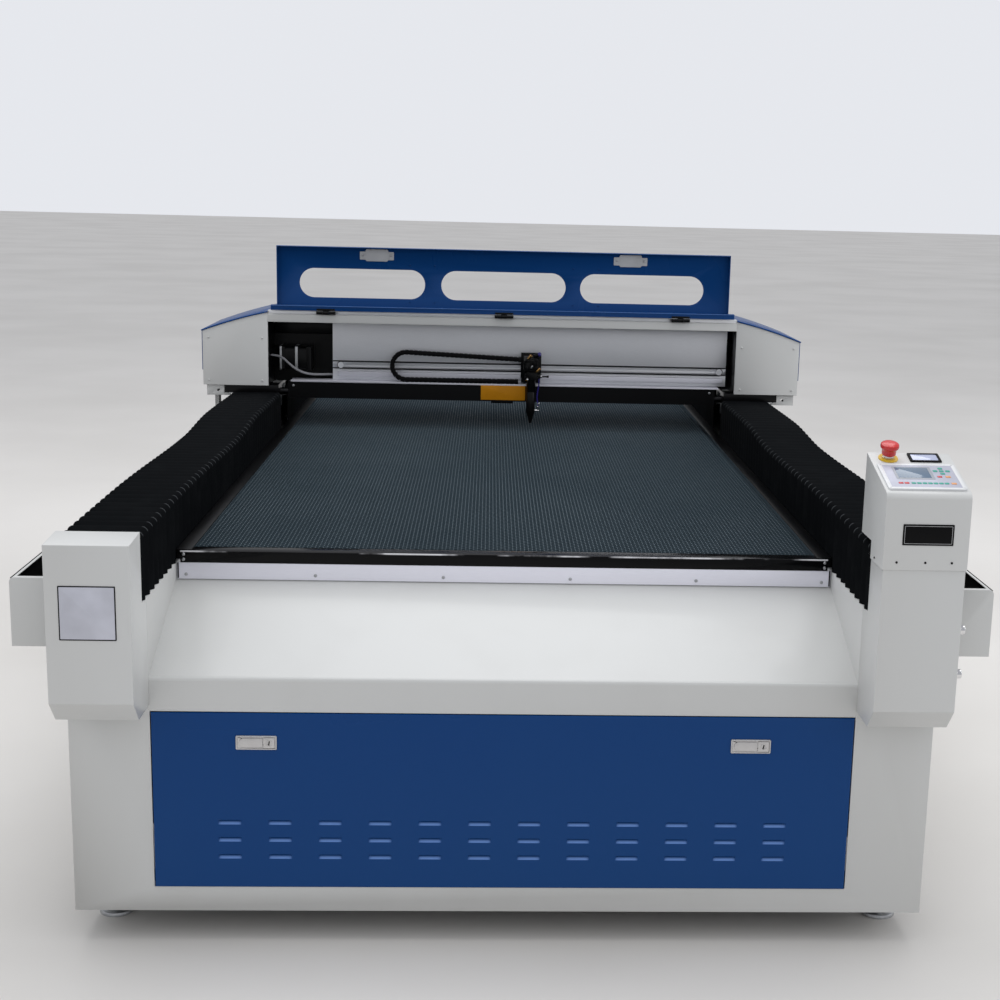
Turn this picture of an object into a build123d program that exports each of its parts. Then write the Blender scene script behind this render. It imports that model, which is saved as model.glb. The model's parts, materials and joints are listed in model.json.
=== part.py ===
from build123d import *
import math
import os

# Flatbed carbon dioxide laser engraving machine with a travelling gantry
# X runs across the machine, Y from the operator's end to the back, Z up
# The origin lies on the floor under the middle, and every size is in millimetres

os.makedirs("parts", exist_ok=True)

# Work area: the rest of the machine is set out from the edges of the comb and the bed
comb_width = 1320.8
bed_length = 2502.0
half_comb = comb_width / 2
half_bed = bed_length / 2

# Body of the machine
wall_clearance = 31.6
side_box_width = 157.0
apron_length = 282.0
half_inner = half_comb + wall_clearance
half_width = half_inner + side_box_width
half_length = half_bed + apron_length
floor_clearance = 65.0
wall_top = 709.0
inner_wall_bottom = 470.0
skin = 3.0
frame_tube = 60.0
frame_tube_wall = 3.0
frame_stations = 4
upper_tube_width = 100.0

# Front and rear sheets
door_bottom = 116.0
door_top = 482.0
band_top = 550.0
slope_top = 671.0
slope_bend = 10.0

# Bed
bed_top = 734.0
comb_height = 25.0
comb_floor = 5.0
comb_pitch = 12.7
comb_rib = 3.0
border_bar_depth = 40.0
border_bar_half_width = half_inner - 9.0
table_tube = 40.0
table_tube_count = 7
edge_strip = 4.0
edge_strip_rise = 1.5
front_strip_half_width = half_inner - 2.0

# End boxes
end_box_reach = 126.0
end_box_chamfer_height = 44.0
end_box_chamfer_depth = 39.0
end_box_bottom = 494.0
end_box_front_top = 840.0
end_box_rear_top = 846.0
end_box_rear = 35.0
end_box_inset = 1.0
end_box_skin = 2.5

# Cable troughs
trough_width = 100.0
trough_bottom = 610.0
trough_top = 746.0
trough_skin = 2.0
trough_lip = 12.0
trough_bend = 10.0
trough_inner_top = 706.0

# Rails and racks under the bellows
rail_beam_x = (half_inner + 43.0, half_inner + 123.0)
rail_beam_height = 60.0
rail_width = 20.0
rail_height = 18.0
rail_x = rail_beam_x[0] + rail_width
rack_x = (rail_beam_x[0] + 55.0, rail_beam_x[0] + 77.0)
rail_margin = 20.0
mesh_gap = 0.3

# Bellows
bellows_x = (half_inner - 2.0, half_width - 6.0)
bellows_skin = 3.0
bellows_corner = 8.0
front_pleats = 48
rear_pleats = 28
pleat_depth = 11.0
stretched_pleat_depth = 2.5
rest_gap = 0.3

# Gantry
gantry_front = 375.0
gantry_depth = 365.0
cover_inner = half_inner + 35.0
cover_outer = cover_inner + 200.0
cover_bottom = 871.0
cover_outer_top = 1038.0
cover_inner_top = 1098.0
cover_sheet = 3.0
shell_sheet = 2.0
leg_front = 400.0
leg_length = 160.0
leg_plate = 12.0
leg_x = (half_inner + 8.0, half_width - 14.0)
shaft_y = 450.0
shaft_z = 845.0
shaft_radius = 12.0
pinion_radius = 32.0
running_clearance = 0.05
motor_size = 76.0
y_motor_x = (-half_inner - 8.0, -half_inner + 90.0)
motor_shaft_radius = 6.0
drive_pulley_x = (half_inner + 74.0, half_inner + 90.0)
motor_pulley_radius = 14.0
shaft_pulley_radius = 24.0
belt_thickness = 2.0

# Gantry beam
beam_front = 515.0
beam_depth = 120.0
beam_height = 150.0
beam_wall = 6.0
face_x = (-half_inner + 156.0, half_inner + 18.0)
face_front = 455.0
face_top = 1065.0
ledge_front = 412.0
ledge_height = 5.0
ledge_x = (-half_inner + 29.0, half_inner - 9.0)
lower_plate_half_width = half_inner - 20.0
lower_plate_bottom = 830.0
lower_plate_top = 880.0
groove_heights = (943.0, 921.0)
groove_depth = 4.0
groove_width = 5.0

# Cross rail of the head
guide_size = 15.0
guide_depth = 14.0
guide_z = 904.5
guide_x = (face_x[0] + 16.0, face_x[1] - 10.0)

# Drive belt of the head
x_motor_size = 42.0
x_shaft_radius = 4.0
face_wall = 8.0
belt_edge = 2.0
belt_width = 8.0

# Laser head
head_x = 88.0
beam_line_y = 394.0
beam_line_z = 950.0
focus_radius = 14.0
nozzle_tip_z = 766.0

# Lid over the beam
lid_hinge_y = 366.0
lid_hinge_z = 1100.0
lid_half_width = half_inner + 5.0
lid_lip_half_width = half_inner + 24.0
lid_top = 1302.0
lid_sheet = 2.0
lid_plane = 386.0
lip_bottom = 1106.0
lip_height = 16.0
window_length = 384.0
window_height = 89.0
window_z = 1191.0
window_centres = (-437.0, -3.0, 426.0)
hinge_reach = half_inner - 144.0
hinge_centres = (-hinge_reach, 0.0, hinge_reach)
knuckle_radius = 5.0
hinge_length = 58.0
catch_centres = (-393.0, 388.0)
catch_z = 1278.0
catch_size = (105.0, 38.0)
catch_thickness = 1.5

# Laser tube
tube_radius = 40.0
tube_half_length = half_inner + 108.0
tube_y = 690.0
tube_wall = 2.5

# Control hood
hood_skin = 2.0
hood_bottom = 815.0
hood_front_top = 960.0
hood_rear_top = 1008.0
hood_rear = 1492.0
hood_overhang_bottom = 850.0
hood_bend = 15.0

# Front door
door_gap = 2.0
door_skin = 2.0
door_proud = 2.0
louvre_columns = 12
louvre_pitch = 98.4
louvre_length = 46.0
louvre_rows = (254.0, 218.0, 182.0)
louvre_rise = 5.0
louvre_height = 9.0
latch_width = 80.0
latch_height = 29.0
latch_centres = ((-487.0, 420.0), (485.0, 420.5))

# Exhaust
duct_radius = 75.0
duct_wall = 2.0
duct_length = 60.0
duct_x = 300.0
duct_z = 330.0

# Power supply of the laser
supply_x = (half_inner - 292.0, half_inner - 12.0)
supply_z = (340.0, 520.0)
supply_depth = 140.0

# Levelling feet
foot_x = half_width - 49.0
foot_y = half_length - 133.0
pad_radius = 35.0
pad_height = 14.0
stud_radius = 8.0

# Sizes that follow from those above
comb_bottom = bed_top - comb_height
gantry_rear = gantry_front + gantry_depth
leg_rear = leg_front + leg_length
rail_top = wall_top + rail_beam_height + rail_height
rack_top = shaft_z - pinion_radius - mesh_gap
end_box_front = half_length + end_box_reach
bellows_end = half_length + end_box_rear
motor_middle = (beam_front - motor_size / 2, 951.0)
belt_x = (guide_x[0] + 10, face_x[1] - x_motor_size / 2 - 2)
belt_middle = (groove_heights[0] + groove_heights[1]) / 2
belt_radius = (groove_heights[0] - groove_heights[1]) / 2
belt_y = (face_front - belt_edge - belt_width, face_front - belt_edge)
hood_x = (half_inner - hood_skin, half_width - end_box_inset + hood_skin)
hood_front = end_box_front + hood_skin
sides = (("left", -1), ("right", 1))
ends = (("front", -1), ("rear", 1))


def facing(y):
    """Upright plane across the machine at y, seen from the front: X and Z."""
    return Plane(origin=(0, y, 0), x_dir=(1, 0, 0), z_dir=(0, -1, 0))


def beside(x):
    """Upright plane along the machine at x: Y and Z, facing +X."""
    return Plane(origin=(x, 0, 0), x_dir=(0, 1, 0), z_dir=(1, 0, 0))


def level(z):
    """Level plane at height z: X and Y, facing up."""
    return Plane.XY.offset(z)


def block(x, y, z, mode=Mode.ADD):
    """Box between two values on each axis."""
    with Locations(((x[0] + x[1]) / 2, (y[0] + y[1]) / 2, (z[0] + z[1]) / 2)):
        Box(abs(x[1] - x[0]), abs(y[1] - y[0]), abs(z[1] - z[0]), mode=mode)


def keep(name, builder):
    """Label a finished piece and write it."""
    builder.part.label = name
    export_step(builder.part, f"parts/{name}.step")


def keep_group(name, solids):
    """Write several separate solids of one kind as one piece."""
    group = Compound(label=name, children=solids)
    export_step(group, f"parts/{name}.step")


def square_tube(x, y, z, wall, along):
    """Square or flat tube with open ends, given by its outer box and the axis that it runs along."""
    spans = [x, y, z]
    inner = [(min(s) + wall, max(s) - wall) for s in spans]
    inner[along] = spans[along]
    with BuildPart() as tube:
        block(x, y, z)
        block(*inner, mode=Mode.SUBTRACT)
    return tube.part


# Welded base frame: lower rails, cross rails, posts and upper rails
frame_half_length = half_length - skin
frame_outer = half_width - skin
frame_inner = frame_outer - frame_tube
lower_z = (floor_clearance, floor_clearance + frame_tube)
upper_z = (wall_top - skin - frame_tube, wall_top - skin)
station_pitch = (2 * frame_half_length - frame_tube) / (frame_stations - 1)
frame_tubes = []
for name, s in sides:
    rail_x_span = (s * frame_inner, s * frame_outer)
    along_y = (-frame_half_length, frame_half_length)
    frame_tubes.append(square_tube(rail_x_span, along_y, lower_z, frame_tube_wall, 1))
    upper_x = (s * (frame_outer - upper_tube_width), s * frame_outer)
    frame_tubes.append(square_tube(upper_x, along_y, upper_z, frame_tube_wall, 1))
for station in range(frame_stations):
    low = -frame_half_length + station * station_pitch
    post_y = (low, low + frame_tube)
    cross_x = (-frame_inner, frame_inner)
    frame_tubes.append(square_tube(cross_x, post_y, lower_z, frame_tube_wall, 0))
    for name, s in sides:
        post_x = (s * frame_inner, s * frame_outer)
        frame_tubes.append(square_tube(post_x, post_y, (lower_z[1], upper_z[0]), frame_tube_wall, 2))
keep_group("base_frame", frame_tubes)

# Levelling feet: pad, stud and lock nut, one under each corner and each middle
nut_height = 12.0
nut_radius = 14.0
feet = []
for name, s in sides:
    for foot_place in (-foot_y, 0, foot_y):
        with BuildPart(level(0)) as foot:
            with BuildSketch(level(0)):
                with Locations((s * foot_x, foot_place)):
                    Circle(pad_radius)
            extrude(amount=pad_height)
            chamfer(foot.faces().sort_by(Axis.Z)[-1].edges(), pad_height / 3)
            with BuildSketch(level(pad_height)):
                with Locations((s * foot_x, foot_place)):
                    Circle(stud_radius)
            extrude(amount=floor_clearance - pad_height)
            with BuildSketch(level(floor_clearance - nut_height)):
                with Locations((s * foot_x, foot_place)):
                    RegularPolygon(nut_radius, 6)
            extrude(amount=nut_height)
        feet.append(foot.part)
keep_group("levelling_feet", feet)


# Front and rear sheets: a flat face with two side columns, then a bend and a slope up to the bed
slope_angle = math.atan2(slope_top - band_top, half_length - half_bed)
slope_drop = skin / math.cos(slope_angle)
bend_start = band_top - slope_bend


def end_sheet(s, holes):
    """Face, columns, bend and slope at one end of the body, inside a part block."""
    face_y = (s * half_length, s * (half_length - skin))
    block((-half_width, half_width), face_y, (floor_clearance, bend_start))
    for name, side in sides:
        block((side * half_inner, side * half_width), face_y, (bend_start, wall_top))
    with BuildSketch(beside(-half_inner)) as profile:
        with BuildLine():
            Polyline(
                (s * half_length, bend_start),
                (s * half_length, band_top),
                (s * (half_bed - skin), slope_top + skin * math.tan(slope_angle)),
                (s * (half_bed - skin), slope_top + skin * math.tan(slope_angle) - slope_drop),
                (s * (half_length - skin), band_top - skin * 0.7),
                (s * (half_length - skin), bend_start),
                close=True,
            )
        make_face()
        outer_bend = profile.vertices().sort_by_distance((s * half_length, band_top, 0))[0]
        fillet(outer_bend, slope_bend)
    extrude(profile.sketch, amount=2 * half_inner)
    if holes == "door":
        block((-half_inner, half_inner), face_y, (door_bottom, door_top), mode=Mode.SUBTRACT)
    else:
        with BuildSketch(facing(s * half_length)) as ducts:
            with Locations((-duct_x, duct_z), (duct_x, duct_z)):
                Circle(duct_radius - duct_wall)
        extrude(ducts.sketch, amount=2 * skin, both=True, mode=Mode.SUBTRACT)


with BuildPart() as front_fascia:
    end_sheet(-1, "door")
keep("front_fascia", front_fascia)

with BuildPart() as rear_fascia:
    end_sheet(1, "ducts")
keep("rear_fascia", rear_fascia)

# Side shells: outer skin, deck under the bellows and inner wall, folded from one sheet
for name, s in sides:
    with BuildPart() as side_shell:
        with BuildSketch(facing(-frame_half_length)):
            Polygon(
                (s * half_width, floor_clearance),
                (s * half_width, wall_top),
                (s * half_inner, wall_top),
                (s * half_inner, inner_wall_bottom),
                (s * (half_inner + skin), inner_wall_bottom),
                (s * (half_inner + skin), wall_top - skin),
                (s * (half_width - skin), wall_top - skin),
                (s * (half_width - skin), floor_clearance),
                align=None,
            )
        extrude(amount=-2 * frame_half_length)
    keep(f"{name}_side_shell", side_shell)

# Rail beams, ground rails and gear racks on the deck
rail_half_length = half_length - rail_margin
rails = []
for name, s in sides:
    beam_span = (s * rail_beam_x[0], s * rail_beam_x[1])
    beam_z = (wall_top, wall_top + rail_beam_height)
    rails.append(square_tube(beam_span, (-rail_half_length, rail_half_length), beam_z, 4.0, 1))
    with BuildPart() as ground_rail:
        half_rail = rail_width / 2
        with BuildSketch(facing(-rail_half_length)):
            with Locations((s * rail_x, beam_z[1] + rail_height / 2)):
                Rectangle(rail_width, rail_height)
            with Locations(
                (s * rail_x - half_rail, beam_z[1] + rail_height * 0.6),
                (s * rail_x + half_rail, beam_z[1] + rail_height * 0.6),
            ):
                Circle(rail_height * 0.12, mode=Mode.SUBTRACT)
        extrude(amount=-2 * rail_half_length)
    rails.append(ground_rail.part)
    with BuildPart() as rack:
        block((s * rack_x[0], s * rack_x[1]), (-rail_half_length, rail_half_length), (beam_z[1], rack_top))
    rails.append(rack.part)
keep_group("rails_and_racks", rails)

# End boxes over the ends of the rails, folded covers open towards the body
for end_name, end in ends:
    end_boxes = []
    for name, s in sides:
        with BuildPart() as end_box:
            box_x = (half_inner, half_width - end_box_inset)
            box_start = min(s * box_x[0], s * box_x[1])
            box_outline = [
                (end * half_length, end_box_bottom),
                (end * (end_box_front - end_box_chamfer_depth), end_box_bottom),
                (end * end_box_front, end_box_bottom + end_box_chamfer_height),
                (end * end_box_front, end_box_front_top),
                (end * bellows_end, end_box_rear_top),
                (end * bellows_end, wall_top),
                (end * half_length, wall_top),
            ]
            with BuildSketch(beside(box_start)):
                Polygon(*box_outline, align=None)
            extrude(amount=box_x[1] - box_x[0])
            with BuildSketch(beside(box_start + end_box_skin)):
                Polygon(*box_outline, align=None)
                offset(amount=-end_box_skin, mode=Mode.REPLACE)
            extrude(amount=box_x[1] - box_x[0] - 2 * end_box_skin, mode=Mode.SUBTRACT)
            block(
                (s * (box_x[0] + end_box_skin), s * (box_x[1] - end_box_skin)),
                (end * (half_length - 1), end * (half_length + 2 * end_box_skin)),
                (end_box_bottom + end_box_skin, wall_top - end_box_skin),
                mode=Mode.SUBTRACT,
            )
        end_boxes.append(end_box.part)
    keep_group(f"{end_name}_end_boxes", end_boxes)

# Cable troughs along both sides, open on top with a folded lip
for name, s in sides:
    trough_outer = half_width + trough_width
    with BuildPart() as trough:
        block((s * half_width, s * trough_outer), (-half_length, half_length), (trough_bottom, trough_top))
        outer_top = trough.edges().filter_by(Axis.Y).sort_by_distance((s * trough_outer, 0, trough_top))[0]
        fillet(outer_top, trough_bend)
        block(
            (s * (half_width + trough_skin), s * (trough_outer - trough_skin)),
            (-half_length + trough_skin, half_length - trough_skin),
            (trough_bottom + trough_skin, trough_top - trough_skin),
            mode=Mode.SUBTRACT,
        )
        block(
            (s * (half_width - 1), s * (trough_outer - trough_lip)),
            (-half_length + trough_lip, half_length - trough_lip),
            (trough_top - 2 * trough_skin, trough_top + trough_skin),
            mode=Mode.SUBTRACT,
        )
        block(
            (s * (half_width - 1), s * (half_width + trough_skin)),
            (-half_length + trough_lip, half_length - trough_lip),
            (trough_inner_top, trough_top + trough_skin),
            mode=Mode.SUBTRACT,
        )
    keep(f"{name}_cable_trough", trough)

# Table frame: cross tubes between the inner walls
first_tube = -half_bed + skin + table_tube / 2
tube_pitch = -2 * first_tube / (table_tube_count - 1)
table_tubes = []
for index in range(table_tube_count):
    middle = first_tube + index * tube_pitch
    span_y = (middle - table_tube / 2, middle + table_tube / 2)
    table_tubes.append(square_tube((-half_inner, half_inner), span_y, (comb_bottom - table_tube, comb_bottom), 2.0, 0))
keep_group("table_frame", table_tubes)

# Black bars that border the bed at both ends
border_bars = []
for name, end in ends:
    bar_y = (end * half_bed, end * (half_bed - border_bar_depth))
    bar_x = (-border_bar_half_width, border_bar_half_width)
    border_bars.append(square_tube(bar_x, bar_y, (comb_bottom, bed_top), 2.0, 0))
keep_group("bed_border_bars", border_bars)

# Aluminium strips: one under each border bar, one on each side of the comb
comb_half_length = half_bed - border_bar_depth
strips = []
for name, end in ends:
    with BuildPart() as end_strip:
        strip_x = (-front_strip_half_width, front_strip_half_width)
        block(strip_x, (end * half_bed, end * (half_bed - skin)), (slope_top + skin, comb_bottom))
    strips.append(end_strip.part)
for name, s in sides:
    with BuildPart() as side_strip:
        strip_x = (s * comb_width / 2, s * (comb_width / 2 + edge_strip))
        block(strip_x, (-comb_half_length, comb_half_length), (comb_bottom, bed_top + edge_strip_rise))
    strips.append(side_strip.part)
keep_group("bed_edge_strips", strips)

# Comb table: tall thin ribs along the bed, standing on a perforated floor
rib_count = round(comb_width / comb_pitch) + 1
with BuildPart() as honeycomb_table:
    with BuildSketch(facing(-comb_half_length)):
        with Locations((0, comb_bottom + comb_floor / 2)):
            Rectangle(comb_width, comb_floor)
        with Locations((0, (comb_bottom + bed_top) / 2)):
            with GridLocations((comb_width - comb_rib) / (rib_count - 1), 0, rib_count, 1):
                Rectangle(comb_rib, comb_height)
    extrude(amount=-2 * comb_half_length)
keep("honeycomb_table", honeycomb_table)

# Exhaust spigots on the rear sheet
spigots = []
flange_radius = duct_radius + 20
for spigot_x in (-duct_x, duct_x):
    with BuildPart() as spigot:
        with BuildSketch(facing(half_length)):
            with Locations((spigot_x, duct_z)):
                Circle(flange_radius)
                Circle(duct_radius - duct_wall, mode=Mode.SUBTRACT)
        extrude(amount=-skin)
        with BuildSketch(facing(half_length + skin)):
            with Locations((spigot_x, duct_z)):
                Circle(duct_radius)
                Circle(duct_radius - duct_wall, mode=Mode.SUBTRACT)
        extrude(amount=-duct_length)
    spigots.append(spigot.part)
keep_group("exhaust_spigots", spigots)

# Control hood on the right front end box
hood_slope = math.atan2(hood_rear_top - hood_front_top, hood_front - hood_rear)
with BuildPart() as control_hood:
    with BuildSketch(beside(hood_x[0])) as hood_profile:
        with BuildLine():
            Polyline(
                (-hood_front, hood_bottom),
                (-hood_front, hood_front_top),
                (-hood_rear, hood_rear_top),
                (-hood_rear, hood_overhang_bottom),
                (-bellows_end, hood_overhang_bottom),
                (-bellows_end, hood_bottom),
                close=True,
            )
        make_face()
        front_bend = hood_profile.vertices().sort_by_distance((-hood_front, hood_front_top, 0))[0]
        fillet(front_bend, hood_bend)
    extrude(amount=hood_x[1] - hood_x[0])
    inner_front_top = hood_front_top - hood_skin / math.cos(hood_slope) + hood_skin * math.tan(hood_slope)
    inner_rear_top = hood_rear_top - hood_skin / math.cos(hood_slope) - hood_skin * math.tan(hood_slope)
    with BuildSketch(beside(hood_x[0] + hood_skin)) as hood_inner:
        with BuildLine():
            Polyline(
                (-hood_front + hood_skin, hood_bottom - 1),
                (-hood_front + hood_skin, inner_front_top),
                (-hood_rear - hood_skin, inner_rear_top),
                (-hood_rear - hood_skin, hood_overhang_bottom - 1),
                (-bellows_end, hood_overhang_bottom - 1),
                (-bellows_end, hood_bottom - 1),
                close=True,
            )
        make_face()
        inner_corner = (-hood_front + hood_skin, inner_front_top, 0)
        inner_bend = hood_inner.vertices().sort_by_distance(inner_corner)[0]
        fillet(inner_bend, hood_bend - hood_skin)
    extrude(amount=hood_x[1] - hood_x[0] - 2 * hood_skin, mode=Mode.SUBTRACT)
keep("control_hood", control_hood)

# Plane of the hood's sloping top: its origin is the middle of the front bend
hood_middle = (hood_x[0] + hood_x[1]) / 2
slope_plane = Plane(
    origin=(hood_middle, -hood_front, hood_front_top),
    x_dir=(1, 0, 0),
    z_dir=(0, -math.sin(hood_slope), math.cos(hood_slope)),
)

# Keypad panel: raised bezel around a sunk membrane field
keypad_size = (148.0, 107.0)
keypad_place = (0.0, 67.5)
keypad_thickness = 4.0
with BuildPart() as keypad_panel:
    with BuildSketch(slope_plane):
        with Locations(keypad_place):
            RectangleRounded(keypad_size[0], keypad_size[1], 4)
    extrude(amount=keypad_thickness)
    chamfer(keypad_panel.faces().sort_by(Axis.Z)[-1].edges(), 1)
    with BuildSketch(slope_plane.offset(keypad_thickness - 1)):
        with Locations(keypad_place):
            RectangleRounded(keypad_size[0] - 14, keypad_size[1] - 14, 2)
    extrude(amount=2, mode=Mode.SUBTRACT)
keep("keypad_panel", keypad_panel)

# Small panel meter beside the stop button
meter_size = (61.0, 36.0)
meter_place = (26.0, 152.0)
meter_thickness = 3.0
with BuildPart() as panel_meter:
    with BuildSketch(slope_plane):
        with Locations(meter_place):
            RectangleRounded(meter_size[0], meter_size[1], 2)
    extrude(amount=meter_thickness)
    with BuildSketch(slope_plane.offset(meter_thickness - 1)):
        with Locations(meter_place):
            Rectangle(meter_size[0] - 10, meter_size[1] - 11)
    extrude(amount=2, mode=Mode.SUBTRACT)
keep("panel_meter", panel_meter)

# Emergency stop: fixed collar with its bush, and the mushroom button that presses down over the bush
stop_place = (-45.0, 149.0)
collar_radius = 19.0
collar_height = 3.0
bush_radius = 11.5
bush_height = 9.0
stop_travel = 6.0
with BuildPart() as estop_collar:
    with BuildSketch(slope_plane):
        with Locations(stop_place):
            Circle(collar_radius)
    extrude(amount=collar_height)
    chamfer(estop_collar.faces().sort_by(Axis.Z)[-1].edges(), 1)
    with BuildSketch(slope_plane.offset(collar_height)):
        with Locations(stop_place):
            Circle(bush_radius)
    extrude(amount=bush_height - collar_height)
keep("estop_collar", estop_collar)

skirt_bottom = collar_height + stop_travel + 0.5
crown_bottom = bush_height + stop_travel + 0.5
skirt_radius = bush_radius + 2
head_radius = 18.0
head_bottom = 22.0
head_height = 34.0
with BuildPart() as estop_button:
    with BuildSketch(slope_plane.offset(skirt_bottom)):
        with Locations(stop_place):
            Circle(skirt_radius)
            Circle(bush_radius + 0.5, mode=Mode.SUBTRACT)
    extrude(amount=crown_bottom - skirt_bottom)
    with BuildSketch(slope_plane.offset(crown_bottom)):
        with Locations(stop_place):
            Circle(skirt_radius)
    extrude(amount=head_bottom - crown_bottom)
    with BuildSketch(slope_plane.offset(head_bottom)):
        with Locations(stop_place):
            Circle(head_radius)
    extrude(amount=head_height - head_bottom)
    press_axis = Axis(slope_plane.origin, slope_plane.z_dir)
    fillet(estop_button.edges().group_by(press_axis)[-1], 5)
keep("estop_button", estop_button)

# Key locks on the outer side of the right front end box
lock_reach = 12.0
locks = []
for lock_z in (696.0, 609.0):
    with BuildPart() as lock:
        with BuildSketch(beside(half_width - end_box_inset)):
            with Locations((-end_box_front + 19, lock_z)):
                Circle(12)
        extrude(amount=3)
        with BuildSketch(beside(half_width - end_box_inset)):
            with Locations((-end_box_front + 19, lock_z)):
                Circle(9)
        extrude(amount=lock_reach)
        with BuildSketch(beside(half_width - end_box_inset + lock_reach)):
            with Locations((-end_box_front + 19, lock_z)):
                Rectangle(2, 8)
        extrude(amount=-4, mode=Mode.SUBTRACT)
    locks.append(lock.part)
keep_group("side_locks", locks)


# Bellows: folded skins shaped like an upturned channel, with their folds across the travel
def eased(points, y):
    """Height at y, easing like half a cosine from each point to the next."""
    for (y0, z0), (y1, z1) in zip(points, points[1:]):
        if y <= y1:
            share = (y - y0) / (y1 - y0)
            return z0 + (z1 - z0) * (1 - math.cos(math.pi * share)) / 2
    return points[-1][1]


def channel_section(s, y, top, fold):
    """One closed section of the skin: folds pull the top and both sides in."""
    low = wall_top + rest_gap
    centre = s * (bellows_x[0] + bellows_x[1]) / 2
    half = (bellows_x[1] - bellows_x[0]) / 2 - fold
    crown = top - fold
    c = bellows_corner
    t = bellows_skin
    outline = [
        (centre - half, low),
        (centre - half, crown - c),
        (centre - half + c, crown),
        (centre + half - c, crown),
        (centre + half, crown - c),
        (centre + half, low),
        (centre + half - t, low),
        (centre + half - t, crown - c - t / 2),
        (centre + half - c - t / 2, crown - t),
        (centre - half + c + t / 2, crown - t),
        (centre - half + t, crown - c - t / 2),
        (centre - half + t, low),
    ]
    with BuildSketch(facing(y)) as section:
        with BuildLine():
            Polyline(*outline, close=True)
        make_face()
    return section.sketch.face()


front_heights = [
    (-bellows_end, 843.0),
    (-1100.0, 847.0),
    (-430.0, 838.0),
    (-60.0, 853.0),
    (leg_front, 849.0),
]
rear_heights = [(leg_rear, 849.0), (bellows_end, 844.0)]


def bellows(s, y0, y1, pleats, heights, still_end, moving_end):
    """Ruled skin through alternate crests and valleys between two ends."""
    sections = []
    for index in range(2 * pleats + 1):
        y = y0 + (y1 - y0) * index / (2 * pleats)
        away = abs(y - still_end) / abs(moving_end - still_end)
        depth = stretched_pleat_depth + (pleat_depth - stretched_pleat_depth) * (1 + math.cos(math.pi * away)) / 2
        fold = depth if index % 2 == 0 else 0.0
        sections.append(channel_section(s, y, eased(heights, y), fold))
    with BuildPart() as skin_part:
        loft(sections, ruled=True)
    return skin_part.part


front_skins = []
rear_skins = []
for name, s in sides:
    front_skins.append(bellows(s, -bellows_end, leg_front, front_pleats, front_heights, -bellows_end, leg_front))
    rear_skins.append(bellows(s, leg_rear, bellows_end, rear_pleats, rear_heights, bellows_end, leg_rear))
keep_group("front_bellows", front_skins)
keep_group("rear_bellows", rear_skins)


# Cable chains: separate links along a lower run, a half circle and an upper run
def chain_links(route, width, height, pitch, place):
    """Links centred on a route of (along, z) points; place turns a route point into a plane."""
    links = []
    count = int(route.length // pitch)
    for index in range(count):
        share = (index + 0.5) / count
        centre = route @ share
        tangent = route % share
        with BuildPart() as link:
            with BuildSketch(place(centre, tangent)):
                Rectangle(width, height)
                Rectangle(width - 5, height - 5, mode=Mode.SUBTRACT)
            extrude(amount=route.length / count / 2 - 0.4, both=True)
        links.append(link.part)
    return links


chain_radius = 40.0
chain_width = 60.0
chain_height = 34.0
chain_pitch = 20.0
chain_lift = 0.9
chain_low_z = trough_bottom + trough_skin + chain_lift + chain_height / 2
chain_high_z = chain_low_z + 2 * chain_radius
chain_x = -(half_width + trough_width / 2)
chain_fixed_y = 95.0
chain_bend_y = 895.0
chain_arm_y = 470.0
with BuildLine() as y_route:
    Line((chain_fixed_y, chain_low_z), (chain_bend_y, chain_low_z))
    ThreePointArc(
        (chain_bend_y, chain_low_z),
        (chain_bend_y + chain_radius, chain_low_z + chain_radius),
        (chain_bend_y, chain_high_z),
    )
    Line((chain_bend_y, chain_high_z), (chain_arm_y, chain_high_z))


def y_chain_plane(centre, tangent):
    """Section plane of the long chain: its route lies in the plane of Y and Z."""
    return Plane(
        origin=(chain_x, centre.X, centre.Y),
        x_dir=(1, 0, 0),
        z_dir=(0, tangent.X, tangent.Y),
    )


y_links = chain_links(y_route.wires()[0], chain_width, chain_height, chain_pitch, y_chain_plane)
keep_group("y_cable_chain", y_links)

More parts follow.
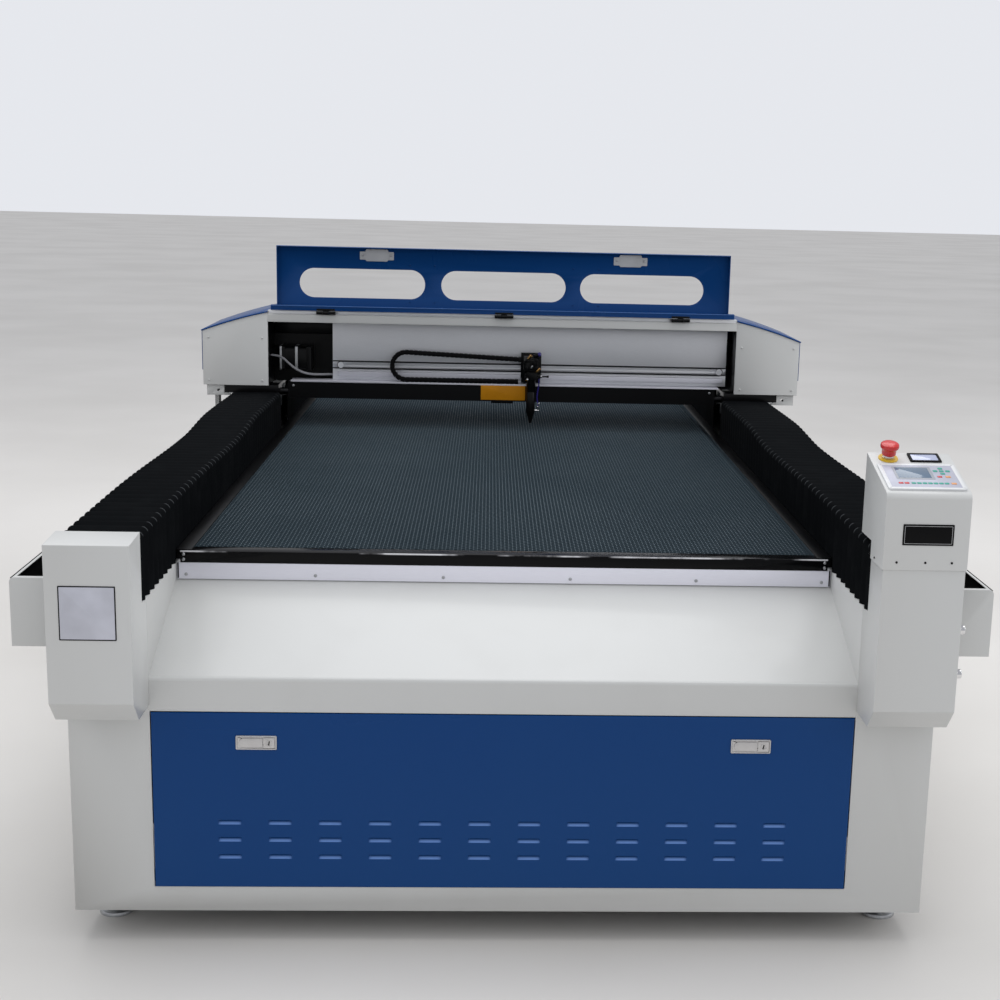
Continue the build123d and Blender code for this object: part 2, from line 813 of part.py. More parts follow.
# Gantry legs: carriage plate, cheeks, top plate, end plate and the outer bracket
leg_plate_z = (rail_top + 12.0, rail_top + 31.0)
cheek_z = (leg_plate_z[1], cover_bottom - 10)
chain_arm_x = (half_width + 44, half_width + 56)
bracket_x = (bellows_x[1] + 2, cover_outer - 9)
pinion_slot_x = (rack_x[0] - 3, rack_x[1] + 3)
belt_slot_x = (drive_pulley_x[0] - 2, drive_pulley_x[1] + 2)
for name, s in sides:
    with BuildPart() as leg:
        block((s * (rail_x - 27), s * (rail_x + 27)), (leg_front, leg_rear), leg_plate_z)
        for cheek_y in ((leg_front, leg_front + leg_plate), (leg_rear - leg_plate, leg_rear)):
            block((s * leg_x[0], s * leg_x[1]), cheek_y, cheek_z)
        block((s * (rail_x - 6), s * (rail_x + 6)), (leg_front + leg_plate, leg_rear - leg_plate), cheek_z)
        block((s * leg_x[0], s * bracket_x[1]), (leg_front, gantry_rear - 20), (cheek_z[1], cover_bottom))
        block(
            (s * pinion_slot_x[0], s * pinion_slot_x[1]),
            (shaft_y - pinion_radius - 3, shaft_y + pinion_radius + 3),
            (cheek_z[1] - 1, cover_bottom + 1),
            mode=Mode.SUBTRACT,
        )
        block(
            (s * cover_inner, s * (cover_inner + 6)),
            (leg_front, beam_front),
            (cover_bottom, face_top),
        )
        block(
            (s * bracket_x[0], s * bracket_x[1]),
            (leg_front - 15, leg_front - 12),
            (cover_bottom - 33, cover_bottom),
        )
        block(
            (s * bracket_x[0], s * bracket_x[1]),
            (leg_front - 12, leg_front),
            (cover_bottom - 4, cover_bottom),
        )
        with BuildSketch(facing(leg_front - 20)):
            with Locations((s * (bracket_x[0] + bracket_x[1]) / 2, cover_bottom - 16)):
                Circle(3.5)
        extrude(amount=-10, mode=Mode.SUBTRACT)
        with BuildSketch(beside(0)):
            with Locations((shaft_y, shaft_z)):
                Circle(shaft_radius + running_clearance)
        extrude(amount=s * half_width, mode=Mode.SUBTRACT)
        if s < 0:
            block(
                (s * chain_arm_x[0], s * chain_arm_x[1]),
                (chain_arm_y - 20, chain_arm_y + 20),
                (chain_high_z + chain_height / 2 + rest_gap, cheek_z[1]),
            )
            block(
                (s * belt_slot_x[0], s * belt_slot_x[1]),
                (shaft_y - shaft_pulley_radius - 8, motor_middle[0] + motor_pulley_radius + 8),
                (cheek_z[1] - 1, cover_bottom + 1),
                mode=Mode.SUBTRACT,
            )
            with BuildSketch(beside(-cover_inner + 1)):
                with Locations(motor_middle):
                    Circle(motor_shaft_radius + 2)
            extrude(amount=-10, mode=Mode.SUBTRACT)
    keep(f"{name}_gantry_leg", leg)

# Carriage blocks that run on the ground rails
carriage_length = 50.0
blocks = []
for name, s in sides:
    for middle in (leg_front + 30, leg_rear - 30):
        with BuildPart() as carriage:
            block(
                (s * (rail_x - 22), s * (rail_x + 22)),
                (middle - carriage_length / 2, middle + carriage_length / 2),
                (rail_top - rail_height + 6, leg_plate_z[0]),
            )
            block(
                (s * rail_x - rail_width / 2 - rest_gap, s * rail_x + rail_width / 2 + rest_gap),
                (middle - carriage_length, middle + carriage_length),
                (rail_top - rail_height, rail_top + rest_gap),
                mode=Mode.SUBTRACT,
            )
        blocks.append(carriage.part)
keep_group("carriage_blocks", blocks)

# Gantry beam: steel tube resting on both legs
beam_tube = square_tube(
    (-leg_x[1], leg_x[1]),
    (beam_front, beam_front + beam_depth),
    (cover_bottom, cover_bottom + beam_height),
    beam_wall,
    0,
)

# Beam face: aluminium extrusion with two grooves and three hollow cells, a pocket for the motor of the head
# and a hole for the shaft of each belt pulley
with BuildPart() as beam_face:
    with BuildSketch(beside(face_x[0])):
        face_bottom = lower_plate_top + ledge_height
        with Locations(((face_front + beam_front) / 2, (face_bottom + face_top) / 2)):
            Rectangle(beam_front - face_front, face_top - face_bottom)
            with GridLocations(0, (face_top - face_bottom) / 3, 1, 3):
                Rectangle(
                    beam_front - face_front - 2 * face_wall,
                    (face_top - face_bottom) / 3 - face_wall,
                    mode=Mode.SUBTRACT,
                )
        for groove in groove_heights:
            with Locations((face_front + groove_depth / 2, groove)):
                Rectangle(groove_depth, groove_width, mode=Mode.SUBTRACT)
    extrude(amount=face_x[1] - face_x[0])
    block(
        (belt_x[1] - x_motor_size / 2 - 2, face_x[1] + 1),
        (face_front + face_wall, beam_front - face_wall),
        (belt_middle - x_motor_size / 2, belt_middle + x_motor_size / 2),
        mode=Mode.SUBTRACT,
    )
    with BuildSketch(facing(face_front - 1)):
        for pulley_place in belt_x:
            with Locations((pulley_place, belt_middle)):
                Circle(x_shaft_radius + running_clearance)
    extrude(amount=-(face_wall + 2), mode=Mode.SUBTRACT)
keep("beam_face", beam_face)

# Guide rail of the head and the bright ledge under it
guide_pieces = []
with BuildPart() as guide:
    block(
        guide_x,
        (face_front - guide_depth, face_front),
        (guide_z - guide_size / 2, guide_z + guide_size / 2),
    )
guide_pieces.append(guide.part)
with BuildPart() as ledge:
    block(ledge_x, (ledge_front, face_front + 20), (lower_plate_top, lower_plate_top + ledge_height))
guide_pieces.append(ledge.part)
keep_group("x_guide_rail", guide_pieces)

# Black tube under the ledge
lower_tube = square_tube(
    (-lower_plate_half_width, lower_plate_half_width),
    (ledge_front + 3, face_front + 10),
    (lower_plate_bottom, lower_plate_top),
    3.0,
    0,
)
keep_group("gantry_beam_tubes", [beam_tube, lower_tube])


# Side covers: a white folded face and a blue shell over the top, side and back
def cover_outline(s, lift):
    """Upper edge of a side cover from its inner end to its outer end, raised by lift."""
    middle = (cover_inner + cover_outer) / 2
    rise = (cover_inner_top + cover_outer_top) / 2 + 4
    return (
        (s * cover_inner, cover_inner_top + lift),
        (s * middle, rise + lift),
        (s * cover_outer, cover_outer_top + lift),
    )


for name, s in sides:
    inner_end, crest, outer_end = cover_outline(s, 0)
    with BuildPart() as cover_face:
        with BuildSketch(facing(gantry_front)):
            with BuildLine():
                Line((s * cover_inner, cover_bottom), inner_end)
                ThreePointArc(inner_end, crest, outer_end)
                Line(outer_end, (s * cover_outer, cover_bottom))
                Line((s * cover_outer, cover_bottom), (s * cover_inner, cover_bottom))
            make_face()
        extrude(amount=-cover_sheet)
        block(
            (s * (cover_outer - cover_sheet), s * cover_outer),
            (gantry_front + cover_sheet, gantry_rear - cover_sheet),
            (cover_bottom, cover_outer_top - shell_sheet),
        )
        block(
            (s * cover_inner, s * (cover_inner + cover_sheet)),
            (gantry_front + cover_sheet, gantry_front + 11),
            (cover_bottom, cover_inner_top - 8),
        )
    keep(f"{name}_cover_face", cover_face)

    low_inner, low_crest, low_outer = cover_outline(s, 0)
    high_inner, high_crest, high_outer = cover_outline(s, shell_sheet + 2)
    side_x = cover_outer + shell_sheet + 2
    with BuildPart() as cover_shell:
        with BuildSketch(facing(gantry_front - 3)):
            with BuildLine():
                ThreePointArc(low_inner, low_crest, low_outer)
                Line(low_outer, (s * side_x, cover_outer_top))
                Line((s * side_x, cover_outer_top), (s * side_x, high_outer[1] - 1))
                Line((s * side_x, high_outer[1] - 1), high_outer)
                ThreePointArc(high_outer, high_crest, high_inner)
                Line(high_inner, low_inner)
            make_face()
        extrude(amount=-(gantry_depth + 3))
        block(
            (s * cover_outer, s * side_x),
            (gantry_front + 10, gantry_rear),
            (cover_bottom + 45, cover_outer_top),
        )
        with BuildSketch(facing(gantry_rear - cover_sheet)):
            with BuildLine():
                Line((s * cover_inner, cover_bottom), low_inner)
                ThreePointArc(low_inner, low_crest, low_outer)
                Line(low_outer, (s * cover_outer, cover_bottom))
                Line((s * cover_outer, cover_bottom), (s * cover_inner, cover_bottom))
            make_face()
        extrude(amount=-cover_sheet)
    keep(f"{name}_cover_shell", cover_shell)

# Top rail: folded white rail that carries the hinges of the lid
rail_face_z = (1069.0, 1092.0)
hinge_strip_top = 1104.0
with BuildPart() as gantry_top_rail:
    with BuildSketch(beside(-cover_inner)):
        Polygon(
            (gantry_front, rail_face_z[0]),
            (gantry_front, rail_face_z[1]),
            (gantry_front + 3, rail_face_z[1] + 2),
            (gantry_front + 3, hinge_strip_top),
            (gantry_front + 30, hinge_strip_top),
            (gantry_front + 30, hinge_strip_top - 2),
            (gantry_front + 5, hinge_strip_top - 2),
            (gantry_front + 5, rail_face_z[0] + 2),
            (gantry_front + 30, rail_face_z[0] + 2),
            (gantry_front + 30, rail_face_z[0]),
            align=None,
        )
    extrude(amount=2 * cover_inner)
keep("gantry_top_rail", gantry_top_rail)

# Fixed halves of the lid's hinges: leaf and two outer knuckles
knuckle = hinge_length / 3
fixed_leaves = []
for hinge_x in hinge_centres:
    with BuildPart() as leaf:
        block(
            (hinge_x - hinge_length / 2, hinge_x + hinge_length / 2),
            (lid_hinge_y + knuckle_radius + 2, gantry_front + 3),
            (rail_face_z[1] + 3, hinge_strip_top - 1),
        )
        for start in (-hinge_length / 2, hinge_length / 2 - knuckle):
            block(
                (hinge_x + start, hinge_x + start + knuckle),
                (lid_hinge_y, lid_hinge_y + knuckle_radius + 2),
                (rail_face_z[1] + 3, lid_hinge_z),
            )
            with BuildSketch(beside(hinge_x + start)):
                with Locations((lid_hinge_y, lid_hinge_z)):
                    Circle(knuckle_radius)
            extrude(amount=knuckle)
    fixed_leaves.append(leaf.part)
keep_group("lid_hinge_leaves", fixed_leaves)

# Lid: panel with three windows, flanges towards the operator and a lip at the hinges
with BuildPart() as lid:
    with BuildSketch(facing(lid_plane)):
        with Locations((0, (lip_bottom + lid_top) / 2)):
            Rectangle(2 * lid_half_width, lid_top - lip_bottom)
        for window_x in window_centres:
            with Locations((window_x, window_z)):
                SlotOverall(window_length, window_height, mode=Mode.SUBTRACT)
    extrude(amount=-lid_sheet)
    flange_y = (lid_plane - 18, lid_plane)
    block((-lid_half_width, lid_half_width), flange_y, (lid_top - lid_sheet, lid_top))
    for name, s in sides:
        block(
            (s * (lid_half_width - lid_sheet), s * lid_half_width),
            flange_y,
            (lip_bottom + lip_height, lid_top),
        )
    lip_x = (-lid_lip_half_width, lid_lip_half_width)
    block(lip_x, (lid_hinge_y, lid_hinge_y + lid_sheet), (lip_bottom, lip_bottom + lip_height))
    block(lip_x, (lid_hinge_y, lid_plane + lid_sheet), (lip_bottom + lip_height - lid_sheet, lip_bottom + lip_height))
    for hinge_x in hinge_centres:
        inner = knuckle / 2 - rest_gap
        block((hinge_x - inner, hinge_x + inner), (lid_hinge_y, lid_hinge_y + lid_sheet), (lid_hinge_z, lip_bottom))
        with BuildSketch(beside(hinge_x - inner)):
            with Locations((lid_hinge_y, lid_hinge_z)):
                Circle(knuckle_radius)
        extrude(amount=2 * inner)
keep("lid", lid)

# Catch plates near the top edge of the lid
catch_plates = []
for catch_centre in catch_centres:
    with BuildPart() as catch_plate:
        with BuildSketch(facing(lid_plane)):
            with Locations((catch_centre, catch_z)):
                RectangleRounded(catch_size[0], catch_size[1], 3)
                with GridLocations(catch_size[0] - 20, 0, 2, 1):
                    Circle(3, mode=Mode.SUBTRACT)
        extrude(amount=catch_thickness)
    catch_plates.append(catch_plate.part)
keep_group("lid_catch_plates", catch_plates)

# Rear housing over the laser tube, one folded sheet with vents in its back
with BuildPart() as rear_housing:
    with BuildSketch(beside(-cover_inner)):
        roof = hinge_strip_top - 2
        t = shell_sheet
        Polygon(
            (gantry_front + 12, roof),
            (gantry_rear - 20, roof),
            (gantry_rear, roof - 20),
            (gantry_rear, cover_bottom),
            (beam_front + beam_depth, cover_bottom),
            (beam_front + beam_depth, cover_bottom + t),
            (gantry_rear - t, cover_bottom + t),
            (gantry_rear - t, roof - 20 - t * 0.4),
            (gantry_rear - 20 - t * 0.4, roof - t),
            (gantry_front + 12, roof - t),
            align=None,
        )
    extrude(amount=2 * cover_inner)
    with BuildSketch(facing(gantry_rear + 1)):
        with Locations((0, 1000)):
            with GridLocations(120, 24, 8, 4):
                SlotOverall(70, 8)
    extrude(amount=-10, both=True, mode=Mode.SUBTRACT)
keep("rear_housing", rear_housing)

# Laser tube: glass jacket with an inner bore tube and end caps
with BuildPart() as laser_tube:
    with BuildSketch(beside(-tube_half_length)):
        with Locations((tube_y, beam_line_z)):
            Circle(tube_radius)
            Circle(tube_radius - tube_wall, mode=Mode.SUBTRACT)
    extrude(amount=2 * tube_half_length)
    for cap_x in (-tube_half_length, tube_half_length - 12):
        with BuildSketch(beside(cap_x)):
            with Locations((tube_y, beam_line_z)):
                Circle(tube_radius)
        extrude(amount=12)
    with BuildSketch(beside(-tube_half_length - 30)):
        with Locations((tube_y, beam_line_z)):
            Circle(8)
    extrude(amount=2 * tube_half_length + 60)
keep("laser_tube", laser_tube)

# Saddles of the tube, and the two mirror mounts in the left cover
mirror_x = -(leg_x[1] + 30)
mounts = []
for saddle_x in (-500.0, 500.0):
    with BuildPart() as saddle:
        block(
            (saddle_x - 12, saddle_x + 12),
            (beam_front + beam_depth, gantry_rear - shell_sheet),
            (cover_bottom + shell_sheet, beam_line_z),
        )
        with BuildSketch(beside(saddle_x - 20)):
            with Locations((tube_y, beam_line_z)):
                Circle(tube_radius + 0.2)
        extrude(amount=40, mode=Mode.SUBTRACT)
    mounts.append(saddle.part)
mirror_half = 13.0
for mirror_y, turn in ((tube_y, 45), (beam_line_y + 6, -45)):
    with BuildPart() as mirror_mount:
        block(
            (mirror_x - mirror_half, mirror_x + mirror_half),
            (mirror_y - mirror_half, mirror_y + mirror_half),
            (cover_bottom, beam_line_z + 25),
        )
        with BuildSketch(Plane(origin=(mirror_x, mirror_y, beam_line_z)).rotated((90, 0, turn))):
            Circle(9)
        extrude(amount=30, mode=Mode.SUBTRACT)
    mounts.append(mirror_mount.part)
keep_group("tube_and_mirror_mounts", mounts)

# Stepper motors: end caps, laminated middle and output shaft
motors = []
with BuildPart() as y_motor:
    for cap in ((y_motor_x[0], y_motor_x[0] + 15), (y_motor_x[1] - 15, y_motor_x[1])):
        with BuildSketch(beside(cap[0])):
            with Locations(motor_middle):
                RectangleRounded(motor_size, motor_size, 6)
        extrude(amount=cap[1] - cap[0])
    with BuildSketch(beside(y_motor_x[0] + 15)):
        with Locations(motor_middle):
            RectangleRounded(motor_size - 4, motor_size - 4, 14)
    extrude(amount=y_motor_x[1] - y_motor_x[0] - 30)
    block(
        (-cover_inner, y_motor_x[0]),
        (motor_middle[0] - 20, beam_front),
        (motor_middle[1] - 30, motor_middle[1] + 30),
    )
    with BuildSketch(beside(-cover_inner)):
        with Locations(motor_middle):
            Circle(motor_shaft_radius + 4)
    extrude(amount=cover_inner + y_motor_x[0], mode=Mode.SUBTRACT)
    with BuildSketch(beside(y_motor_x[0])):
        with Locations(motor_middle):
            Circle(motor_shaft_radius + running_clearance)
    extrude(amount=10, mode=Mode.SUBTRACT)
motors.append(y_motor.part)
with BuildPart() as x_motor:
    block(
        (belt_x[1] - x_motor_size / 2, belt_x[1] + x_motor_size / 2),
        (face_front + face_wall, beam_front - face_wall),
        (belt_middle - x_motor_size / 2, belt_middle + x_motor_size / 2),
    )
    with BuildSketch(facing(face_front + face_wall)):
        with Locations((belt_x[1], belt_middle)):
            Circle(x_shaft_radius + running_clearance)
    extrude(amount=-10, mode=Mode.SUBTRACT)
motors.append(x_motor.part)
keep_group("stepper_motors", motors)

# Reduction from the motor to the cross shaft: small pulley, belt and large pulley
drive_pulley_width = drive_pulley_x[1] - drive_pulley_x[0]
with BuildPart() as motor_pulley:
    with BuildSketch(beside(-drive_pulley_x[1])):
        with Locations(motor_middle):
            Circle(motor_pulley_radius)
    extrude(amount=drive_pulley_width)
    with BuildSketch(beside(-drive_pulley_x[0])):
        with Locations(motor_middle):
            Circle(motor_shaft_radius)
    extrude(amount=drive_pulley_x[0] + y_motor_x[0] + 8)
keep("motor_pulley", motor_pulley)

with BuildPart() as cross_shaft:
    with BuildSketch(beside(-rack_x[1])):
        with Locations((shaft_y, shaft_z)):
            Circle(shaft_radius)
    extrude(amount=2 * rack_x[1])
    for start in (-rack_x[1], rack_x[0]):
        with BuildSketch(beside(start)):
            with Locations((shaft_y, shaft_z)):
                Circle(pinion_radius)
        extrude(amount=rack_x[1] - rack_x[0])
    with BuildSketch(beside(-drive_pulley_x[1])):
        with Locations((shaft_y, shaft_z)):
            Circle(shaft_pulley_radius)
    extrude(amount=drive_pulley_width)
keep("cross_shaft", cross_shaft)

# Flat belt of the head: two runs and a half turn round each pulley
with BuildPart() as x_drive_belt:
    with BuildSketch(facing(belt_y[0])):
        with Locations(((belt_x[0] + belt_x[1]) / 2, belt_middle)):
            SlotCenterToCenter(belt_x[1] - belt_x[0], 2 * belt_radius + belt_thickness)
            SlotCenterToCenter(belt_x[1] - belt_x[0], 2 * belt_radius - belt_thickness, mode=Mode.SUBTRACT)
    extrude(amount=belt_y[0] - belt_y[1])
keep("x_drive_belt", x_drive_belt)
for pulley_name, pulley_place in (("x_idler_pulley", belt_x[0]), ("x_drive_pulley", belt_x[1])):
    with BuildPart() as x_pulley:
        with BuildSketch(facing(belt_y[0] - 2)):
            with Locations((pulley_place, belt_middle)):
                Circle(belt_radius - belt_thickness / 2 - rest_gap)
        extrude(amount=-(face_front - rest_gap - belt_y[0] + 2))
        with BuildSketch(facing(face_front - rest_gap)):
            with Locations((pulley_place, belt_middle)):
                Circle(x_shaft_radius)
        extrude(amount=-(face_wall + 5))
    keep(pulley_name, x_pulley)

# Cable chain of the head: it lies on the ledge, turns over and comes back to the head
x_chain_y = ledge_front + 9.0
x_chain_width = 16.0
x_chain_height = 14.0
x_chain_pitch = 14.0
x_chain_lift = 0.8
x_chain_low = lower_plate_top + ledge_height + x_chain_lift + x_chain_height / 2
x_chain_bend = -304.0
x_chain_radius = 43.0
x_chain_high = x_chain_low + 2 * x_chain_radius
x_chain_end = (48.0, 963.0)
with BuildLine() as x_route:
    Line((x_chain_end[0], x_chain_low), (x_chain_bend, x_chain_low))
    ThreePointArc(
        (x_chain_bend, x_chain_low),
        (x_chain_bend - x_chain_radius, x_chain_low + x_chain_radius),
        (x_chain_bend, x_chain_high),
    )
    Line((x_chain_bend, x_chain_high), x_chain_end)


def x_chain_plane(centre, tangent):
    """Section plane of the short chain: its route lies in the plane of X and Z."""
    return Plane(
        origin=(centre.X, x_chain_y, centre.Y),
        x_dir=(0, 1, 0),
        z_dir=(tangent.X, 0, tangent.Y),
    )


x_links = chain_links(x_route.wires()[0], x_chain_width, x_chain_height, x_chain_pitch, x_chain_plane)
keep_group("x_cable_chain", x_links)

# Corrugated conduit from the left end plate past the motor to the end of the beam face
conduit_radius = 4.0
conduit_y = face_front - 21.0
conduit_points = [
    (-cover_inner, conduit_y, 960.0),
    (21.0 - cover_inner, conduit_y, 960.0),
    (40.0 - cover_inner, conduit_y, 950.5),
    (57.0 - cover_inner, conduit_y, 934.0),
    (78.0 - cover_inner, conduit_y + 1, 917.0),
    (104.0 - cover_inner, conduit_y + 4, 905.0),
    (131.0 - cover_inner, conduit_y + 13, 900.0),
    (157.0 - cover_inner, conduit_y + 28, 899.0),
    (181.0 - cover_inner, conduit_y + 38, 899.0),
    (face_x[0] + 12, conduit_y + 38, 899.0),
]
conduit_runs = [
    (Vector(*b) - Vector(*a)).length for a, b in zip(conduit_points, conduit_points[1:])
]
conduit_radii = []
for index in range(1, len(conduit_points) - 1):
    before = Vector(*conduit_points[index]) - Vector(*conduit_points[index - 1])
    after = Vector(*conduit_points[index + 1]) - Vector(*conduit_points[index])
    half_turn = math.radians(before.get_angle(after)) / 2
    shorter = min(conduit_runs[index - 1], conduit_runs[index])
    conduit_radii.append(0.45 * shorter / math.tan(half_turn))
print("conduit radii", [round(r) for r in conduit_radii])
with BuildPart() as motor_conduit:
    with BuildLine() as conduit_route:
        FilletPolyline(*conduit_points, radius=conduit_radii)
    first = conduit_route.wires()[0]
    with BuildSketch(Plane(origin=first @ 0, z_dir=first % 0)):
        Circle(conduit_radius)
    sweep()
print("conduit volume share", motor_conduit.part.volume / (math.pi * conduit_radius**2 * first.length))
keep("motor_conduit", motor_conduit)

# Head carriage: slider on the guide rail, back plate, tube holder, mirror block and chain lug
plate_y = (face_front - guide_depth - 18, face_front - guide_depth - 10)
holder_z = (904.0, 926.0)
mirror_z = (934.5, 976.0)
with BuildPart() as head_carriage:
    block((head_x - 30, head_x + 30), (plate_y[1], face_front - rest_gap), (889.0, 918.0))
    block(
        (head_x - 40, head_x + 40),
        (face_front - guide_depth - rest_gap, face_front + 1),
        (guide_z - guide_size / 2 - rest_gap, guide_z + guide_size / 2 + rest_gap),
        mode=Mode.SUBTRACT,
    )
    block((head_x - 32, head_x + 32), plate_y, (holder_z[0], 984.0))
    block((head_x - 19, head_x + 19), (beam_line_y - 19, plate_y[0]), holder_z)
    block((head_x - 24, head_x + 24), (beam_line_y - 22, plate_y[0]), mirror_z)
    with BuildSketch(beside(head_x - 24)):
        Polygon(
            (beam_line_y - 22, mirror_z[1]),
            (beam_line_y - 22, mirror_z[1] - 12),
            (beam_line_y - 10, mirror_z[1]),
            align=None,
        )
    extrude(amount=48, mode=Mode.SUBTRACT)
    with BuildSketch(beside(head_x - 30)):
        with Locations((beam_line_y, beam_line_z)):
            Circle(7)
    extrude(amount=30, mode=Mode.SUBTRACT)
    with BuildSketch(level(holder_z[0] - 1)):
        with Locations((head_x, beam_line_y)):
            Circle(focus_radius + running_clearance)
    extrude(amount=holder_z[1] - holder_z[0] + 2, mode=Mode.SUBTRACT)
    for knob_x, knob_z, knob_radius in ((-15, 943, 5), (15, 943, 5), (-15, 966, 5), (15, 966, 5)):
        with BuildSketch(facing(beam_line_y - 22)):
            with Locations((head_x + knob_x, knob_z)):
                Circle(knob_radius)
        extrude(amount=8)
    with BuildSketch(beside(head_x + 19)):
        with Locations((beam_line_y - 2, 915)):
            Circle(5)
    extrude(amount=14)
    block((head_x - 40, head_x - 32), (ledge_front + 2, plate_y[1]), (x_chain_end[1] - 8, x_chain_end[1] + 8))
    block((head_x - 8, head_x + 8), (plate_y[1], belt_y[0] - rest_gap), (groove_heights[0] - 5, groove_heights[0] + 5))
keep("head_carriage", head_carriage)

# Focus tube with its nozzle and the air fitting, free to slide in the holder
with BuildPart() as focus_tube:
    with BuildSketch(facing(beam_line_y)):
        with BuildLine():
            Polyline(
                (head_x + 10, 917.0),
                (head_x + focus_radius, 917.0),
                (head_x + focus_radius, 800.0),
                (head_x + 8, 782.0),
                (head_x + 4, nozzle_tip_z),
                (head_x + 1.5, nozzle_tip_z),
                (head_x + 10, 800.0),
                close=True,
            )
        make_face()
    revolve(axis=Axis((head_x, beam_line_y, 0), (0, 0, 1)))
    with BuildSketch(beside(head_x + focus_radius - 2)):
        with Locations((beam_line_y, 806.0)):
            Circle(4)
    extrude(amount=16)
    with BuildSketch(level(805.0)):
        with Locations((head_x + focus_radius + 9, beam_line_y)):
            Circle(3.5)
    extrude(amount=15)
keep("focus_tube", focus_tube)

# Front door: folded lift-off panel with rows of pressed louvres
door_x = half_inner - door_gap
door_z = (door_bottom + rest_gap, door_top - door_gap)
door_front = -(half_length + door_proud)
door_flange = door_proud + skin - rest_gap
louvre_columns_x = [(index - (louvre_columns - 1) / 2) * louvre_pitch for index in range(louvre_columns)]
with BuildPart() as front_door:
    block((-door_x, door_x), (door_front, door_front + door_flange), door_z)
    block(
        (-door_x + door_skin, door_x - door_skin),
        (door_front + door_skin, door_front + door_flange + 1),
        (door_z[0] + door_skin, door_z[1] - door_skin),
        mode=Mode.SUBTRACT,
    )
    for louvre_z in louvre_rows:
        for louvre_x in louvre_columns_x:
            half_louvre = louvre_length / 2
            block(
                (louvre_x - half_louvre, louvre_x + half_louvre),
                (door_front - 1, door_front + door_skin + 1),
                (louvre_z - louvre_height / 2, louvre_z - louvre_height / 2 + 4),
                mode=Mode.SUBTRACT,
            )
            with BuildSketch(beside(louvre_x - half_louvre)):
                Polygon(
                    (door_front + door_skin, louvre_z + louvre_height / 2 + 1),
                    (door_front, louvre_z + louvre_height / 2 + 1),
                    (door_front - louvre_rise, louvre_z - louvre_height / 2 + 2),
                    (door_front - louvre_rise, louvre_z - louvre_height / 2),
                    (door_front + door_skin, louvre_z + louvre_height / 2 - 1),
                    align=None,
                )
            extrude(amount=louvre_length)
keep("front_door", front_door)

# Door latches: framed plates, each with a key barrel and a paddle on a pin
paddle_width = 50.0
paddle_height = 19.0
plate_thickness = 3.0
plate_front = door_front - plate_thickness
latch_plates = []
for latch_x, latch_z in latch_centres:
    with BuildPart() as latch_plate:
        with BuildSketch(facing(door_front)):
            with Locations((latch_x, latch_z)):
                RectangleRounded(latch_width, latch_height, 2)
            with Locations((latch_x - 9, latch_z)):
                Rectangle(paddle_width + 1, paddle_height + 1, mode=Mode.SUBTRACT)
        extrude(amount=plate_thickness)
        with BuildSketch(facing(door_front)):
            with Locations((latch_x - 9, latch_z)):
                Rectangle(paddle_width + 1, paddle_height + 1)
        extrude(amount=0.6)
        with BuildSketch(facing(plate_front)):
            with Locations((latch_x + 28, latch_z)):
                Circle(6)
        extrude(amount=2)
    latch_plates.append(latch_plate.part)
keep_group("door_latches", latch_plates)
for (name, s), (latch_x, latch_z) in zip(sides, latch_centres):
    with BuildPart() as paddle:
        with BuildSketch(facing(door_front - 0.9)):
            with Locations((latch_x - 9, latch_z)):
                RectangleRounded(paddle_width - 0.6, paddle_height - 0.6, 1)
        extrude(amount=plate_thickness - 0.4)
        with BuildSketch(facing(door_front - 0.9)):
            with Locations((latch_x + 10, latch_z)):
                Circle(4)
        extrude(amount=plate_thickness, mode=Mode.SUBTRACT)
    keep(f"{name}_latch_paddle", paddle)

# Reduction belt from the motor pulley to the cross shaft
with BuildPart() as reduction_belt:
    with BuildSketch(beside(-drive_pulley_x[1] + 3)):
        with Locations(motor_middle):
            Circle(motor_pulley_radius + rest_gap + belt_thickness)
        with Locations((shaft_y, shaft_z)):
            Circle(shaft_pulley_radius + rest_gap + belt_thickness)
        make_hull(mode=Mode.REPLACE)
    extrude(amount=drive_pulley_width - 6)
    with BuildSketch(beside(-drive_pulley_x[1] + 3)):
        with Locations(motor_middle):
            Circle(motor_pulley_radius + rest_gap)
        with Locations((shaft_y, shaft_z)):
            Circle(shaft_pulley_radius + rest_gap)
        make_hull(mode=Mode.REPLACE)
    extrude(amount=drive_pulley_width - 6, mode=Mode.SUBTRACT)
keep("reduction_belt", reduction_belt)

# Plain plates: one on the left front end box, one on the front of the hood
info_plates = []
plate_spots = (
    ((26.0 - half_width, 130.0 - half_width), -end_box_front, (661.0, 764.0), 1.0),
    ((half_inner + 32.0, half_width - 29.0), -hood_front, (863.0, 903.0), 1.5),
)
for plate_x, plate_y, plate_z, thickness in plate_spots:
    with BuildPart() as info_plate:
        block(plate_x, (plate_y - thickness, plate_y), plate_z)
    info_plates.append(info_plate.part)
keep_group("info_plates", info_plates)

# Amber plate on the front of the black lower tube, with a small rest under it
with BuildPart() as amber_plate:
    block((-71, 71), (ledge_front - 2, ledge_front + 3), (lower_plate_bottom + 4, lower_plate_top))
    block((-14, 10), (ledge_front - 2, ledge_front + 3), (lower_plate_bottom - 6, lower_plate_bottom + 4))
keep("amber_plate", amber_plate)

# Power supply of the laser, screwed to the inside of the rear sheet
with BuildPart() as laser_power_supply:
    supply_y = half_length - skin
    block(supply_x, (supply_y - supply_depth, supply_y), supply_z)
    with BuildSketch(facing(supply_y - supply_depth)):
        with Locations(((supply_x[0] + supply_x[1]) / 2, (supply_z[0] + supply_z[1]) / 2)):
            with GridLocations(30, 0, 7, 1):
                Rectangle(12, 90)
    extrude(amount=-4, mode=Mode.SUBTRACT)
keep("laser_power_supply", laser_power_supply)
